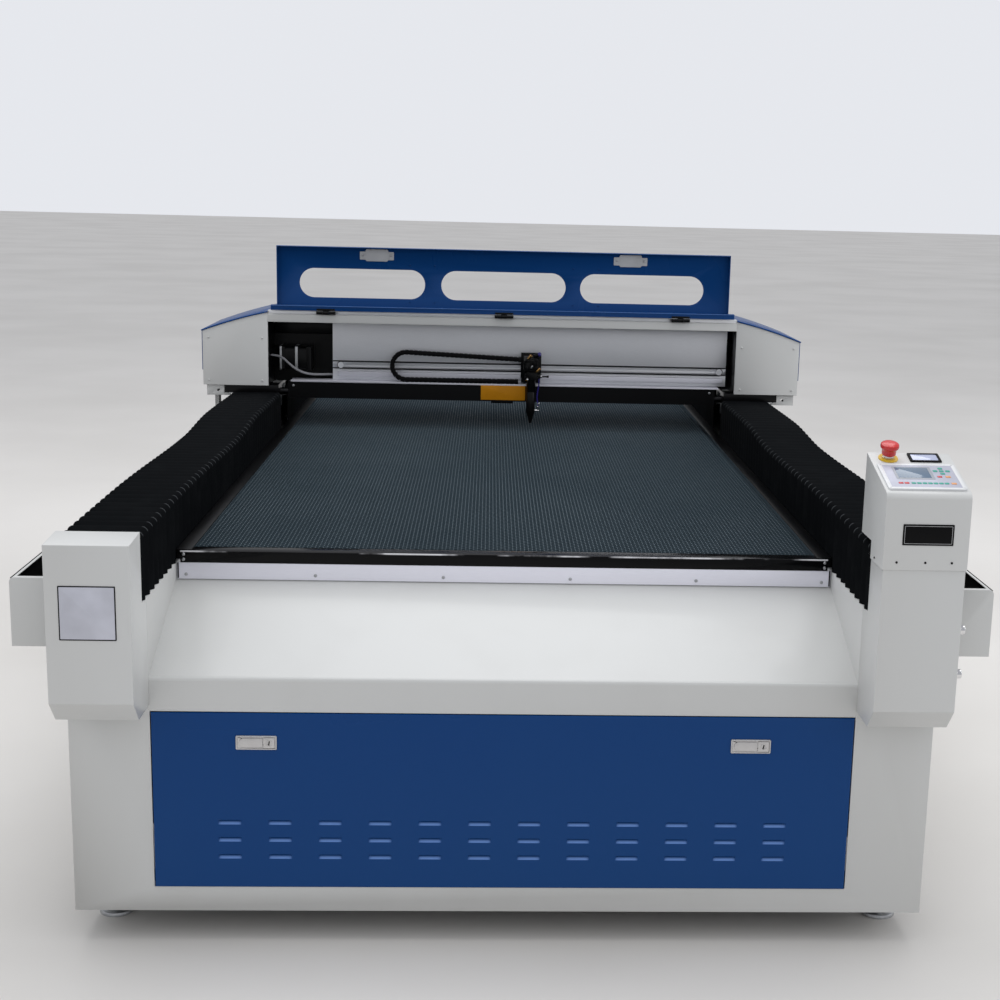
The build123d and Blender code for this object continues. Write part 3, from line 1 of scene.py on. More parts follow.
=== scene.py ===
# %% [markdown]
# # Carbon dioxide laser engraving machine
# A flatbed machine: a pale powder-coated body, a black comb table, bellows over the rails and a
# gantry with a blue lid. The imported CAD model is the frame, so every hard part already has its place.
# This file gives each part its finish and puts finer surfaces where the plain solids are too simple.

# %% Load the frame
import itertools
import json
import math

import bmesh
import bpy
import numpy as np
from mathutils import Matrix, Vector

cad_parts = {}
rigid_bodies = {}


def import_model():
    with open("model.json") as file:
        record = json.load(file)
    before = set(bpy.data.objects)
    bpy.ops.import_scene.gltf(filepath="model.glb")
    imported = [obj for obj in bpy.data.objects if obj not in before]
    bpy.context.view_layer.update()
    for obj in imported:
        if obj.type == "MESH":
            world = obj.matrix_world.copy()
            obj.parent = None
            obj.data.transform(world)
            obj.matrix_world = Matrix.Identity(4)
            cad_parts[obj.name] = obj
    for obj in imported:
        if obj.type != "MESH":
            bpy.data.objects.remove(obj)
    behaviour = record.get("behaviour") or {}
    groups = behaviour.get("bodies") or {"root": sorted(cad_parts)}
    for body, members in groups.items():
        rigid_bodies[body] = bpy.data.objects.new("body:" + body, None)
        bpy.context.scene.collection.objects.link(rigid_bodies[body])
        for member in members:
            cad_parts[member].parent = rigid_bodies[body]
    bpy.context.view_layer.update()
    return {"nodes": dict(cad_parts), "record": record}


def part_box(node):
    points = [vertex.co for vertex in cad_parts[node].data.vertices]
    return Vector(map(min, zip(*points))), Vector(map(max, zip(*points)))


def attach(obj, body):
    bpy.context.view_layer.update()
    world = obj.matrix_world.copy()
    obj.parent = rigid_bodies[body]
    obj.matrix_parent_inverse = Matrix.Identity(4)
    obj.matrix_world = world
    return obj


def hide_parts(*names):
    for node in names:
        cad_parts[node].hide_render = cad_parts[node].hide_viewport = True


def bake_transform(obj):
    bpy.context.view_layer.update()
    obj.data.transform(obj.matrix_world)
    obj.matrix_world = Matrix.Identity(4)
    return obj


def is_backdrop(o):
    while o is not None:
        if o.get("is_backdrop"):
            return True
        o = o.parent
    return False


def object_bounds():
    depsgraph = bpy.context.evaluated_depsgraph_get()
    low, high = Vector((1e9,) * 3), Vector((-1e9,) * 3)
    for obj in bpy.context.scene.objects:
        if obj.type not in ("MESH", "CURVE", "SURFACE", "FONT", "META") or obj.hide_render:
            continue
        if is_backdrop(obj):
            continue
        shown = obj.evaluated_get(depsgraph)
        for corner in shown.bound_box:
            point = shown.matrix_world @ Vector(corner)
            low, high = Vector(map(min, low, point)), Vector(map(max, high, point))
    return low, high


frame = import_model()

# %% [markdown]
# ## Camera
# The view looks down the length of the machine from its front, a little to the left of the middle.
# Three turns and one distance were solved from corners whose real places are known. A camera looks
# along its own -Z, so its matrix has the right, up and backward directions as columns.

# %% The camera
MM = 0.001
HANDS = (("left", -1), ("right", 1))


def linked(name, data):
    """New object in the scene for some data, with its origin at the world's."""
    made = bpy.data.objects.new(name, data)
    bpy.context.scene.collection.objects.link(made)
    return made


yaw, pitch, roll = 0.04773, 0.20089, 0.02524
ahead = Vector((math.sin(yaw) * math.cos(pitch), math.cos(yaw) * math.cos(pitch), -math.sin(pitch)))
level_right = Vector((math.cos(yaw), -math.sin(yaw), 0.0))
level_up = level_right.cross(ahead)
right = math.cos(roll) * level_right + math.sin(roll) * level_up
up = -math.sin(roll) * level_right + math.cos(roll) * level_up
camera = linked("camera", bpy.data.cameras.new("camera"))
camera.data.lens, camera.data.sensor_width, camera.data.shift_x = 55.26, 36.0, -0.0582
camera.data.clip_end = 200.0
place = Matrix((right, up, -ahead)).transposed().to_4x4()
place.translation = Vector((-45.9, -4398.3, 1496.3)) * MM
camera.matrix_world = place
bpy.context.scene.camera = camera
print("camera at", [round(v, 2) for v in place.translation])

# %% [markdown]
# ## Meshes from arrays
# Each new shape is worked out as whole numpy arrays: points in millimetres and faces that number
# them. The signed volume of a closed shape tells whether its faces point outwards, so one helper can
# turn any shape the right way round.


# %% Points and faces
def joined(*shapes):
    """Several shapes as one: points end to end, and face numbers raised by the points before them."""
    points, faces, start = [], [], 0
    for own_points, own_faces in shapes:
        points.append(own_points)
        faces += [group + start for group in own_faces]
        start += len(own_points)
    return np.concatenate(points), faces


def outward(shape):
    """The shape with its faces outward: six times its volume is the sum, over triangles, of the
    box product of their corners, and a negative sum means that the shape is inside out."""
    points, faces = shape
    total = 0.0
    for group in faces:
        first = points[group[:, 0]]
        for k in range(1, group.shape[1] - 1):
            second, third = points[group[:, k]], points[group[:, k + 1]]
            total += np.einsum("ij,ij->", first, np.cross(second, third))
    return shape if total > 0 else (points, [group[:, ::-1] for group in faces])


def net(rows, columns, wrap_rows=False, wrap_columns=False):
    """Quads of a grid whose points are numbered row by row: a wrapped side joins its last line to its
    first."""
    r = np.arange(rows if wrap_rows else rows - 1)[:, None]
    c = np.arange(columns if wrap_columns else columns - 1)[None, :]
    r1, c1 = (r + 1) % rows, (c + 1) % columns
    corners = [r * columns + c, r * columns + c1, r1 * columns + c1, r1 * columns + c]
    return np.stack([np.broadcast_to(k, (r.size, c.size)) for k in corners], -1).reshape(-1, 4)


def loft(rings):
    """Closed solid through rings, an array of (ring, point, xyz), with a flat face at each end."""
    count, around = rings.shape[:2]
    caps = np.stack([np.arange(around)[::-1], np.arange(around) + (count - 1) * around])
    return outward((rings.reshape(-1, 3), [net(count, around, wrap_columns=True), caps]))


def shade(data, smooth):
    """Makes every face of a mesh smooth or flat."""
    data.polygons.foreach_set("use_smooth", np.full(len(data.polygons), smooth))


def piece(name, shape, body, slot, node=None, look=None, flat_angle=32):
    """One object in metres from a shape in millimetres, or a list of them. It rides on a body, takes the
    finish of its slot or a look of its own, and may stand in for a CAD node."""
    points, faces = joined(*shape) if isinstance(shape, list) else shape
    data = bpy.data.meshes.new(name)
    data.from_pydata((points * MM).tolist(), [], [row for group in faces for row in group.tolist()])
    shade(data, True)
    data.set_sharp_from_angle(angle=math.radians(flat_angle))
    data.update()
    data.materials.append(finish[look or slot])
    made = linked(name, data)
    if body:
        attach(made, body)
    if node:
        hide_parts(node)
    return made


def set_painted_highlight(made, values):
    """Keeps a value from 0 to 1 at each point of a mesh, which cloth and paint read as a painted highlight.
    """
    made.data.attributes.new("crease", "FLOAT", "POINT").data.foreach_set("value", values)


# %% [markdown]
# ## Rounded outlines and slabs
# Bent and moulded parts have no knife edges. An outline gets its corners from arcs, each point with
# the direction that leads out of the shape there. A slab carries the outline along an axis and draws
# it in by a quarter circle at both ends, which rounds every edge and catches the light as paint does.


# %% Outlines and slabs
def unit(v):
    """Each vector divided by its own length."""
    return v / np.linalg.norm(v, axis=-1, keepdims=True)


def rounded(corners, radius, steps=4):
    """Convex outline with round corners, anticlockwise, and its outward directions: a corner becomes an
    arc about the point that lies at the radius from both of its sides."""
    corner = np.array(corners, float)
    radius = np.broadcast_to(np.array(radius, float), len(corner))[:, None]
    back, on = unit(np.roll(corner, 1, 0) - corner), unit(np.roll(corner, -1, 0) - corner)
    half = np.arccos(np.clip(np.sum(back * on, 1), -1, 1))[:, None] / 2
    middle = corner + unit(back + on) * radius / np.sin(half)
    start = (corner + back * radius / np.tan(half) - middle) / radius
    end = (corner + on * radius / np.tan(half) - middle) / radius
    turn = math.pi - 2 * half[:, :, None]
    share = np.linspace(0, 1, steps + 1)[None, :, None]
    out = (np.sin((1 - share) * turn) * start[:, None] + np.sin(share * turn) * end[:, None]) / np.sin(turn)
    points = middle[:, None] + out * radius[:, :, None]
    return points.reshape(-1, 2), out.reshape(-1, 2)


def rectangle(u0, u1, v0, v1, radius, steps=4):
    """Rounded rectangle outline between two values each way."""
    return rounded([(u0, v0), (u1, v0), (u1, v1), (u0, v1)], radius, steps)


AXES = {"X": (1, 2, 0), "Y": (0, 2, 1), "Z": (0, 1, 2)}


def placed(flat, height, axis):
    """Points from (u, v) pairs and their place along an axis."""
    points = np.empty((*flat.shape[:-1], 3))
    u, v, w = AXES[axis]
    points[..., u], points[..., v], points[..., w] = flat[..., 0], flat[..., 1], height
    return points


def tray(outline, profile, axis="Z"):
    """Solid whose outline draws in and rises by (inset, height) pairs, from its foot to its sunk floor."""
    flat, out = outline
    inset, height = np.array(profile, float).T
    rings = flat[None] - out[None] * inset[:, None, None]
    return loft(placed(rings, np.broadcast_to(height[:, None], rings.shape[:2]), axis))


def slab(outline, low, high, edge=1.0, steps=3, axis="Z"):
    """Solid between two values on an axis whose section is the outline: near each end the section draws
    in by edge * (1 - sin a) while it has edge * (1 - cos a) still to go, for a from 0 to a quarter turn."""
    a = np.linspace(0, math.pi / 2, steps + 1)
    draw, rise = edge * (1 - np.sin(a)), edge * (1 - np.cos(a))
    height = np.concatenate([low + rise, high - rise[::-1]])
    return tray(outline, np.stack([np.concatenate([draw, draw[::-1]]), height], 1), axis)


def box(x, y, z, edge=1.0):
    """Box between two values on each axis with every edge rounded."""
    return slab(rectangle(*sorted(x), *sorted(y), 1.5, 3), *sorted(z), edge, 2)


def both_sides(x, y, z, edge):
    """The same box at the left and at the right of the machine."""
    return [box((s * x[0], s * x[1]), y, z, edge) for _, s in HANDS]


def circle(u, v, sides):
    """Unit circle cos a * u + sin a * v, or one such circle for each row of directions u and v."""
    angle = (np.arange(sides) * 2 * math.pi / sides)[:, None]
    return np.cos(angle) * u[..., None, :] + np.sin(angle) * v[..., None, :]


def turned(profile, centre, direction, sides=24, hollow=False):
    """Solid of revolution from (radius, height) pairs about a line, closed by flat faces at its two ends.
    A hollow one has a profile that is itself a closed ring."""
    w = unit(np.array(direction, float))
    u = unit(np.cross(w, (0, 0, 1) if abs(w[2]) < 0.9 else (1, 0, 0)))
    radius, height = np.array(profile, float).T[:, :, None, None]
    rings = radius * circle(u, np.cross(w, u), sides) + height * w + np.array(centre, float)
    if hollow:
        return outward((rings.reshape(-1, 3), [net(len(profile), sides, True, True)]))
    return loft(rings)


# %% [markdown]
# ## Shader sums
# A finish is a little graph of nodes. One class holds a socket and lets a sum on sockets be written
# like a sum on numbers. Any other node comes from its one method, which takes the node's type, its
# settings and what goes into its sockets.


# %% The wire class
class Wire:
    """A socket in a material's graph, on which + - and * add the Math nodes of the same name."""

    def __init__(self, tree, socket=None):
        self.tree, self.socket = tree, socket

    def feed(self, sockets, values):
        """Numbers, colours or wires into sockets."""
        for name, value in values.items():
            if isinstance(value, Wire):
                self.tree.links.new(value.socket, sockets[name])
            else:
                sockets[name].default_value = value

    def node(self, kind, settings=None, inputs=None, output=0):
        """A node of a type: settings first, then what goes into its sockets."""
        made = self.tree.nodes.new(kind)
        for name, value in (settings or {}).items():
            setattr(made, name, value)
        self.feed(made.inputs, inputs or {})
        return Wire(self.tree, made.outputs[output])

    def math(self, operation, *values):
        """A Math node by the name of its operation."""
        return self.node("ShaderNodeMath", {"operation": operation}, dict(enumerate(values)))

    def __add__(self, other):
        return self.math("ADD", self, other)

    def __sub__(self, other):
        return self.math("SUBTRACT", self, other)

    def __rsub__(self, other):
        return self.math("SUBTRACT", other, self)

    def __mul__(self, other):
        return self.math("MULTIPLY", self, other)

    __radd__, __rmul__ = __add__, __mul__

    def between(self, low, high):
        """0 below one value, 1 above another, and a smooth rise between them."""
        limits = {"Value": self, "From Min": low, "From Max": high}
        return self.node("ShaderNodeMapRange", {"interpolation_type": "SMOOTHSTEP"}, limits)


# %% [markdown]
# ## Finishes
# Every finish starts from the standard surface shader. What is the same all over is set on its
# sockets, and slow changes of colour and gloss come from noise on the object's own coordinates, in
# metres, so that the scale of each pattern is the real one.

# %% Helpers for finishes
finish = {}


class Finish(Wire):
    """A material for one slot, with its surface shader ready and the object's coordinates at hand."""

    def __init__(self, slot, colour, roughness, metallic=0.0, coat=0.0, shine=0.5):
        material = finish[slot] = bpy.data.materials.new(slot)
        material.use_nodes = True
        material.diffuse_color = (*colour, 1.0)
        super().__init__(material.node_tree)
        self.shader = self.tree.nodes["Principled BSDF"]
        self.set({"Base Color": (*colour, 1.0), "Roughness": roughness, "Metallic": metallic})
        self.set({"Coat Weight": coat, "Specular IOR Level": shine})
        self.place = self.node("ShaderNodeTexCoord", output=3)

    def set(self, values):
        """Numbers or wires on the surface shader's sockets."""
        self.feed(self.shader.inputs, values)

    def noise(self, scale, detail=3.0, stretch=(1, 1, 1)):
        """Soft random value from 0 to 1, with features about 1 / scale metres across."""
        where = self.node("ShaderNodeMapping", {}, {"Vector": self.place, "Scale": stretch})
        return self.node("ShaderNodeTexNoise", {}, {"Vector": where, "Scale": scale, "Detail": detail})

    def blend(self, share, first, second):
        """One colour turning into another as the share goes from 0 to 1."""
        first, second = (c if isinstance(c, Wire) else (*c, 1.0) for c in (first, second))
        return self.node("ShaderNodeMix", {"data_type": "RGBA"}, {0: share, 6: first, 7: second}, output=2)

    def relief(self, height, metres):
        """Small relief on the surface: a height from 0 to 1 that stands up by some metres."""
        bump = {"Height": height, "Distance": metres, "Strength": 1.0}
        self.set({"Normal": self.node("ShaderNodeBump", {}, bump)})

    def axis(self, letter):
        """The coordinate on one axis, in metres."""
        return self.node("ShaderNodeSeparateXYZ", {}, {"Vector": self.place}, output="XYZ".index(letter))

    def painted_highlight(self):
        """The painted highlight kept at the points of the mesh, from 0 to 1."""
        return self.node("ShaderNodeAttribute", {"attribute_name": "crease"}, output=2)


# %% [markdown]
# ### Paints
# Powder coat melts into a skin with a faint ripple like orange peel. It is a shade darker and duller
# low down, where feet and dust reach it. The blue panels have the same skin over a deep colour, with a
# lighter blue painted on the lips of the louvres and the folds of the lid as a highlight. Pale streaks
# here and there on the rounded front edge of the table's glossy border are a painted glint.


# %% Powder coats
def powder_coat(slot, colour, dusty, roughness=0.34, coat=0.0, shine=0.5, highlight_colour=None):
    """Powder coat: patches and a dusty foot change its colour and gloss, and a fine ripple its shine."""
    paint = Finish(slot, colour, roughness, coat=coat, shine=shine)
    patches = paint.noise(1.3, 4.0)
    foot = 1 - paint.axis("Z").between(0.05, 0.55)
    wipe = paint.noise(7.0, 5.0, (1, 1, 0.25)).between(0.45, 0.8)
    dirt = foot * 0.35 + wipe * 0.12 + patches.between(0.35, 0.75) * 0.15
    face = paint.blend(dirt, colour, dusty)
    # Where the mesh marks it, a second colour is painted on as a highlight.
    if highlight_colour:
        face = paint.blend(paint.painted_highlight(), face, highlight_colour)
    paint.set({"Base Color": face, "Roughness": dirt * 0.35 + roughness})
    paint.relief(paint.noise(420.0, 2.0), 0.00006)
    return paint


black = (0.0026, 0.0027, 0.0032)
powder_coat("body_paint", (0.565, 0.57, 0.56), (0.45, 0.445, 0.425), coat=0.12)
powder_coat("frame_paint", (0.42, 0.43, 0.43), (0.30, 0.30, 0.29), 0.45)
# Lighter blue painted on the lit lips and folds as a highlight.
lit_lip_blue = (0.13, 0.25, 0.56)
powder_coat("navy_paint", (0.004, 0.044, 0.172), (0.010, 0.056, 0.180), 0.26, shine=0.14, highlight_colour=lit_lip_blue)
powder_coat("black_paint", black, (0.0065, 0.0065, 0.0068), 0.28, shine=0.18)
gloss = powder_coat("gloss_black", black, (0.0040, 0.0040, 0.0044), 0.12, shine=0.12)
# Pale streaks on the rounded front edge of the border bar are a painted glint, the reflection of lamps.
painted_glint = gloss.noise(7.0, 6.0, (1, 0.2, 0.2)).between(0.46, 0.60)
rounding = gloss.axis("Z").between(0.7310, 0.7318) * (1 - gloss.axis("Y").between(-1.2492, -1.2484))
gloss.set({"Base Color": gloss.blend(painted_glint * rounding, (0.0028, 0.0029, 0.0034), (0.62, 0.62, 0.64))})
print("paints", sorted(finish))

# %% [markdown]
# ### Metals
# Rolled and extruded aluminium carries fine lines along its length, ground rails are brighter, and
# zinc plate has cloudy patches. The comb is thin foil gone dull and dark from smoke. Its top edges are
# painted lighter as a highlight, most of all where two foils are glued together into a double wall, so
# it shows fine lines.


# %% Metals
def metal(slot, colour, darker, roughness, stretch=(1, 30, 30), scale=60.0, depth=0.00002, bare=1.0):
    """Bare metal: noise drawn out along its length gives its lines, in colour, gloss and relief."""
    made = Finish(slot, colour, roughness, metallic=bare)
    lines = made.noise(scale, 4.0, stretch)
    clouds = made.noise(3.0, 3.0)
    share = lines * 0.6 + clouds * 0.4
    made.set({"Base Color": made.blend(share.between(0.3, 0.7), darker, colour)})
    made.set({"Roughness": lines.between(0.2, 0.8) * 0.16 + roughness - 0.08})
    made.relief(lines, depth)
    return made


cast, shallow = (1, 1, 1), 0.000004
metal("bright_aluminium", (0.86, 0.87, 0.90), (0.78, 0.79, 0.82), 0.44, bare=0.7)
metal("ledge_aluminium", (0.66, 0.66, 0.72), (0.60, 0.60, 0.65), 0.40, depth=shallow, bare=0.35)
metal("rail_steel", (0.62, 0.62, 0.64), (0.52, 0.52, 0.54), 0.24, depth=shallow)
metal("dark_steel", (0.030, 0.030, 0.032), (0.018, 0.018, 0.020), 0.36)
metal("zinc_steel", (0.58, 0.59, 0.60), (0.40, 0.41, 0.43), 0.38, cast, 90.0)
metal("chrome", (0.80, 0.80, 0.81), (0.72, 0.72, 0.73), 0.09, cast, 20.0, shallow)
metal("strip_aluminium", (0.88, 0.88, 0.96), (0.82, 0.82, 0.90), 0.42, depth=shallow, bare=0.3)
metal("cast_zinc", (0.66, 0.65, 0.65), (0.56, 0.55, 0.55), 0.42, cast, 50.0, 0.000006)
metal("brass_red", (0.70, 0.44, 0.16), (0.52, 0.28, 0.10), 0.26, cast, 80.0)

cell, foil = 16.8, 0.85
comb_low, comb_high = (np.array(corner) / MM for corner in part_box("honeycomb_table"))
comb = metal("comb_metal", (0.50, 0.64, 0.70), (0.38, 0.49, 0.54), 0.42, (6, 1, 1), 25.0, bare=0.2)
top = comb.axis("Z").between(0.7322, 0.7336)
column, quarter = cell / 2 * MM, cell / 4 * MM
across = comb.axis("X") - float((comb_low[0] + foil) * MM - quarter)
from_column = comb.math("FLOORED_MODULO", across, column) - quarter
glued = 1 - comb.math("ABSOLUTE", from_column).between(0.0009, 0.0016)
# The tops of the foils are painted lighter as a highlight, most along the glued double walls.
painted_top_light = comb.blend(comb.noise(2.2, 5.0).between(0.3, 0.75), (0.095, 0.128, 0.150), (0.140, 0.180, 0.206))
comb.set({"Base Color": comb.blend(top * (glued * 0.8 + 0.2), (0.064, 0.091, 0.110), painted_top_light)})
comb.set({"Specular IOR Level": 0.1})
print("metals done,", len(finish), "finishes")

# %% [markdown]
# ### Plastics, rubber, cloth and glass
# Moulded plastic has a fine spark-eroded grain. The bellows are coated cloth: a weave of two crossed
# sets of threads under a thin matt coat, with dust in patches, and grey is painted on the crest corners
# of one face of each fold as a highlight. The sealed tube is clear glass.


# %% Plastics and rubber
def plastic(slot, colour, roughness=0.42, grain=900.0, coat=0.0, shine=0.5):
    """Moulded plastic: fine grain in its relief, and a little change of colour and gloss."""
    made = Finish(slot, colour, roughness, coat=coat, shine=shine)
    patches = made.noise(9.0, 4.0)
    darker = tuple(0.8 * c for c in colour)
    made.set({"Base Color": made.blend(patches.between(0.35, 0.7), darker, colour)})
    made.set({"Roughness": patches * 0.12 + roughness - 0.06})
    made.relief(made.noise(grain, 2.0), 0.00004)
    return made


plastic("black_plastic", (0.0035, 0.0035, 0.004), shine=0.1)
plastic("grey_plastic", (0.36, 0.38, 0.42), 0.38)
plastic("white_plastic", (0.74, 0.75, 0.76), 0.34)
plastic("red_plastic", (0.62, 0.018, 0.020), 0.26, coat=0.4)
plastic("yellow_plastic", (0.80, 0.50, 0.02), 0.34)
plastic("amber_plastic", (0.50, 0.205, 0.006), 0.36, shine=0.15)
plastic("catch_grey", (0.47, 0.48, 0.50), 0.3)
plastic("hose_blue", (0.030, 0.022, 0.20), 0.3)
plastic("conduit_grey", (0.30, 0.30, 0.32), 0.4)
plastic("belt_rubber", (0.006, 0.006, 0.0065), 0.62, 500.0, shine=0.15)

cloth_black = (0.0052, 0.0058, 0.0066)
cloth = Finish("bellows_cloth", cloth_black, 0.6, shine=0.005)
threads = 1800.0
across, along = (cloth.axis("X") + cloth.axis("Z")) * threads, cloth.axis("Y") * threads
weave = cloth.math("SINE", across) * cloth.math("SINE", along) * 0.5 + 0.5
dust = cloth.noise(14.0, 5.0).between(0.45, 0.8)
plain = cloth.blend(dust * 0.5, cloth_black, (0.0100, 0.0108, 0.0118))
# Grey on the crest corners, read from the mesh, is a painted highlight.
cloth.set({"Base Color": cloth.blend(cloth.painted_highlight(), plain, (0.062, 0.067, 0.071))})
cloth.set({"Roughness": dust * 0.2 + 0.55})
cloth.relief(weave, 0.00008)

glass = Finish("tube_glass", (0.80, 0.86, 0.88), 0.06, coat=0.6)
glass.set({"Alpha": glass.noise(4.0).between(0.2, 0.8) * 0.12 + 0.28})
print("finishes", sorted(finish))

# %% [markdown]
# ## Finishes on the CAD parts
# The record gives each part a slot. The same list here puts a finish on every node of the frame, so
# that no part is left bare, whether it is seen or lies under a cover.

# %% Dress the frame
node_slots = {part["node"]: part["material_slot"] for part in frame["record"]["subparts"]}
for name, node in frame["nodes"].items():
    node.data.materials.clear()
    node.data.materials.append(finish[node_slots[name]])
print(len(node_slots), "parts dressed")


# %% [markdown]
# ## Softened parts
# Bent, sawn and machined metal has a small radius on every edge. A copy of the part's own mesh is
# merged into one skin, its flat regions are joined, and a bevel rounds the edges, which keeps holes
# and returns in place. The parts are listed by the width of their bevel in millimetres.


# %% Softened copies
node_body = {n: body for body, names in frame["record"]["behaviour"]["bodies"].items() for n in names}


def merged(data, gap, then):
    """Joins the points of a mesh that lie within a gap in metres, and runs one more step on the result."""
    work = bmesh.new()
    work.from_mesh(data)
    bmesh.ops.remove_doubles(work, verts=work.verts, dist=gap)
    then(work)
    work.to_mesh(data)
    work.free()


def flattened(work):
    """Joins faces that lie in one plane."""
    bmesh.ops.dissolve_limit(work, angle_limit=math.radians(0.5), verts=work.verts, edges=work.edges)


def softened(node, width, look=None):
    """Copy of a CAD part as one skin with rounded edges, in place of the part."""
    data = frame["nodes"][node].data.copy()
    merged(data, 0.000002, flattened)
    shade(data, True)
    data.materials.clear()
    data.materials.append(finish[look or node_slots[node]])
    made = linked("soft_" + node, data)
    bevel = made.modifiers.new("edges", "BEVEL")
    bevel.width, bevel.segments = width * MM, 2
    bevel.limit_method, bevel.angle_limit = "ANGLE", math.radians(35)
    bevel.harden_normals = True
    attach(made, node_body[node])
    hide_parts(node)


soft_parts = {
    0.6: ("x_guide_rail",),
    0.7: ("lid", "beam_face"),
    0.8: ("left_cable_trough", "right_cable_trough", "left_cover_shell", "right_cover_shell")
    + ("left_gantry_leg", "right_gantry_leg", "carriage_blocks", "head_carriage")
    + ("bed_edge_strips", "stepper_motors", "tube_and_mirror_mounts"),
    0.9: ("control_hood", "rear_housing"),
    1.0: ("gantry_top_rail",),
    1.1: ("front_end_boxes", "rear_end_boxes"),
    1.2: ("front_fascia", "rear_fascia", "left_side_shell", "right_side_shell")
    + ("left_cover_face", "right_cover_face", "laser_power_supply"),
    1.5: ("table_frame", "base_frame"),
    3.5: ("bed_border_bars",),
}
own_looks = {
    "bed_border_bars": "gloss_black",
    "bed_edge_strips": "strip_aluminium",
    "x_guide_rail": "ledge_aluminium",
}
for width, nodes in soft_parts.items():
    for node in nodes:
        softened(node, width, own_looks.get(node))
frame["nodes"]["cross_shaft"].data.materials[0] = finish["dark_steel"]
print(sum(map(len, soft_parts.values())), "softened parts")

# %% [markdown]
# ## Comb table
# The table is a comb of thin foil, pulled wide. Strips of foil are folded in steps and glued to their
# neighbours where they touch. Building the strips, and not the cells, is how the real comb is made,
# and it keeps the count of faces low. A dark sheet lies under it.


# %% Comb of glued foil
sheet_under = 5.0
glued_length, slant_length = 5.0, 2.5


def foil_strips(first, count):
    """Strips along Y: x steps between + and - a quarter cell less half the foil, flat for one glued length
    and slanted between. Every second strip starts half a step later, so that flats meet flats."""
    period = 2 * (glued_length + slant_length)
    periods = int((comb_high[1] - comb_low[1]) / period) - 1
    knots = np.arange(4 * periods + 1)
    along = np.array([0, glued_length, period / 2, period / 2 + glued_length])[knots % 4]
    along = along + knots // 4 * period
    swing = np.array([1, 1, -1, -1])[knots % 4] * (cell / 4 - foil / 2)
    strip = first + np.arange(count)[:, None]
    x = comb_low[0] + cell / 4 + foil + strip * cell / 2 + swing
    y = comb_low[1] + 1.0 + along + (strip % 2) * period / 2
    corner_x = np.array([-foil, foil, foil, -foil]) / 2
    corner_z = np.array([comb_low[2] + sheet_under] * 2 + [comb_high[2]] * 2)
    points = np.empty((count, len(knots), 4, 3))
    points[..., 0] = x[..., None] + corner_x
    points[..., 1] = y[..., None]
    points[..., 2] = corner_z
    one = net(len(knots), 4, wrap_columns=True)
    ends = np.array([[0, 3, 2, 1], [0, 1, 2, 3]]) + np.array([[0], [4 * (len(knots) - 1)]])
    each = np.concatenate([one, ends])
    faces = (each[None] + np.arange(count)[:, None, None] * 4 * len(knots)).reshape(-1, 4)
    return outward((points.reshape(-1, 3), [faces]))


strips = int((comb_high[0] - comb_low[0] - 2 * foil) / (cell / 2)) - 1
share = -(-strips // 5)
for part in range(5):
    own = foil_strips(part * share, min(share, strips - part * share))
    piece(f"comb_foil_{part + 1}", own, "machine", "comb_metal", "honeycomb_table", flat_angle=20)
spans = [[low, high] for low, high in zip(comb_low, comb_high)]
spans[2][1] = comb_low[2] + sheet_under
piece("comb_sheet", box(*spans, 0.8), "machine", "black_paint", "honeycomb_table")
print(strips, "strips of foil")

# %% [markdown]
# ## Bellows
# Coated cloth is folded over the rails like a concertina, tall folds at the standing end and shallow
# ones where it is pulled flat. Its section is an upturned channel that draws in at each valley. The
# crest is taut and sharp at the corners, and the valley is slack and round, so the corners show the
# small facets of a real fold. The heights along its length are those of the solid.

# %% Section and folds of the bellows
bellows_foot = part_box("front_bellows")[0][2] / MM
inner_x, outer_x, skin_thickness = 690.0, 843.0, 1.5
flat_fold, more_fold, crest_bend, more_bend = 2.5, 8.5, 12.0, 4.0


def eased_heights(y, marks):
    """Height at y: between two marks it goes from one to the next by (1 - cos) / 2."""
    mark_y, mark_z = np.array(marks).T
    k = np.clip(np.searchsorted(mark_y, y) - 1, 0, len(mark_y) - 2)
    s = np.clip((y - mark_y[k]) / (mark_y[k + 1] - mark_y[k]), 0, 1)
    return mark_z[k] + (mark_z[k + 1] - mark_z[k]) * (1 - np.cos(math.pi * s)) / 2


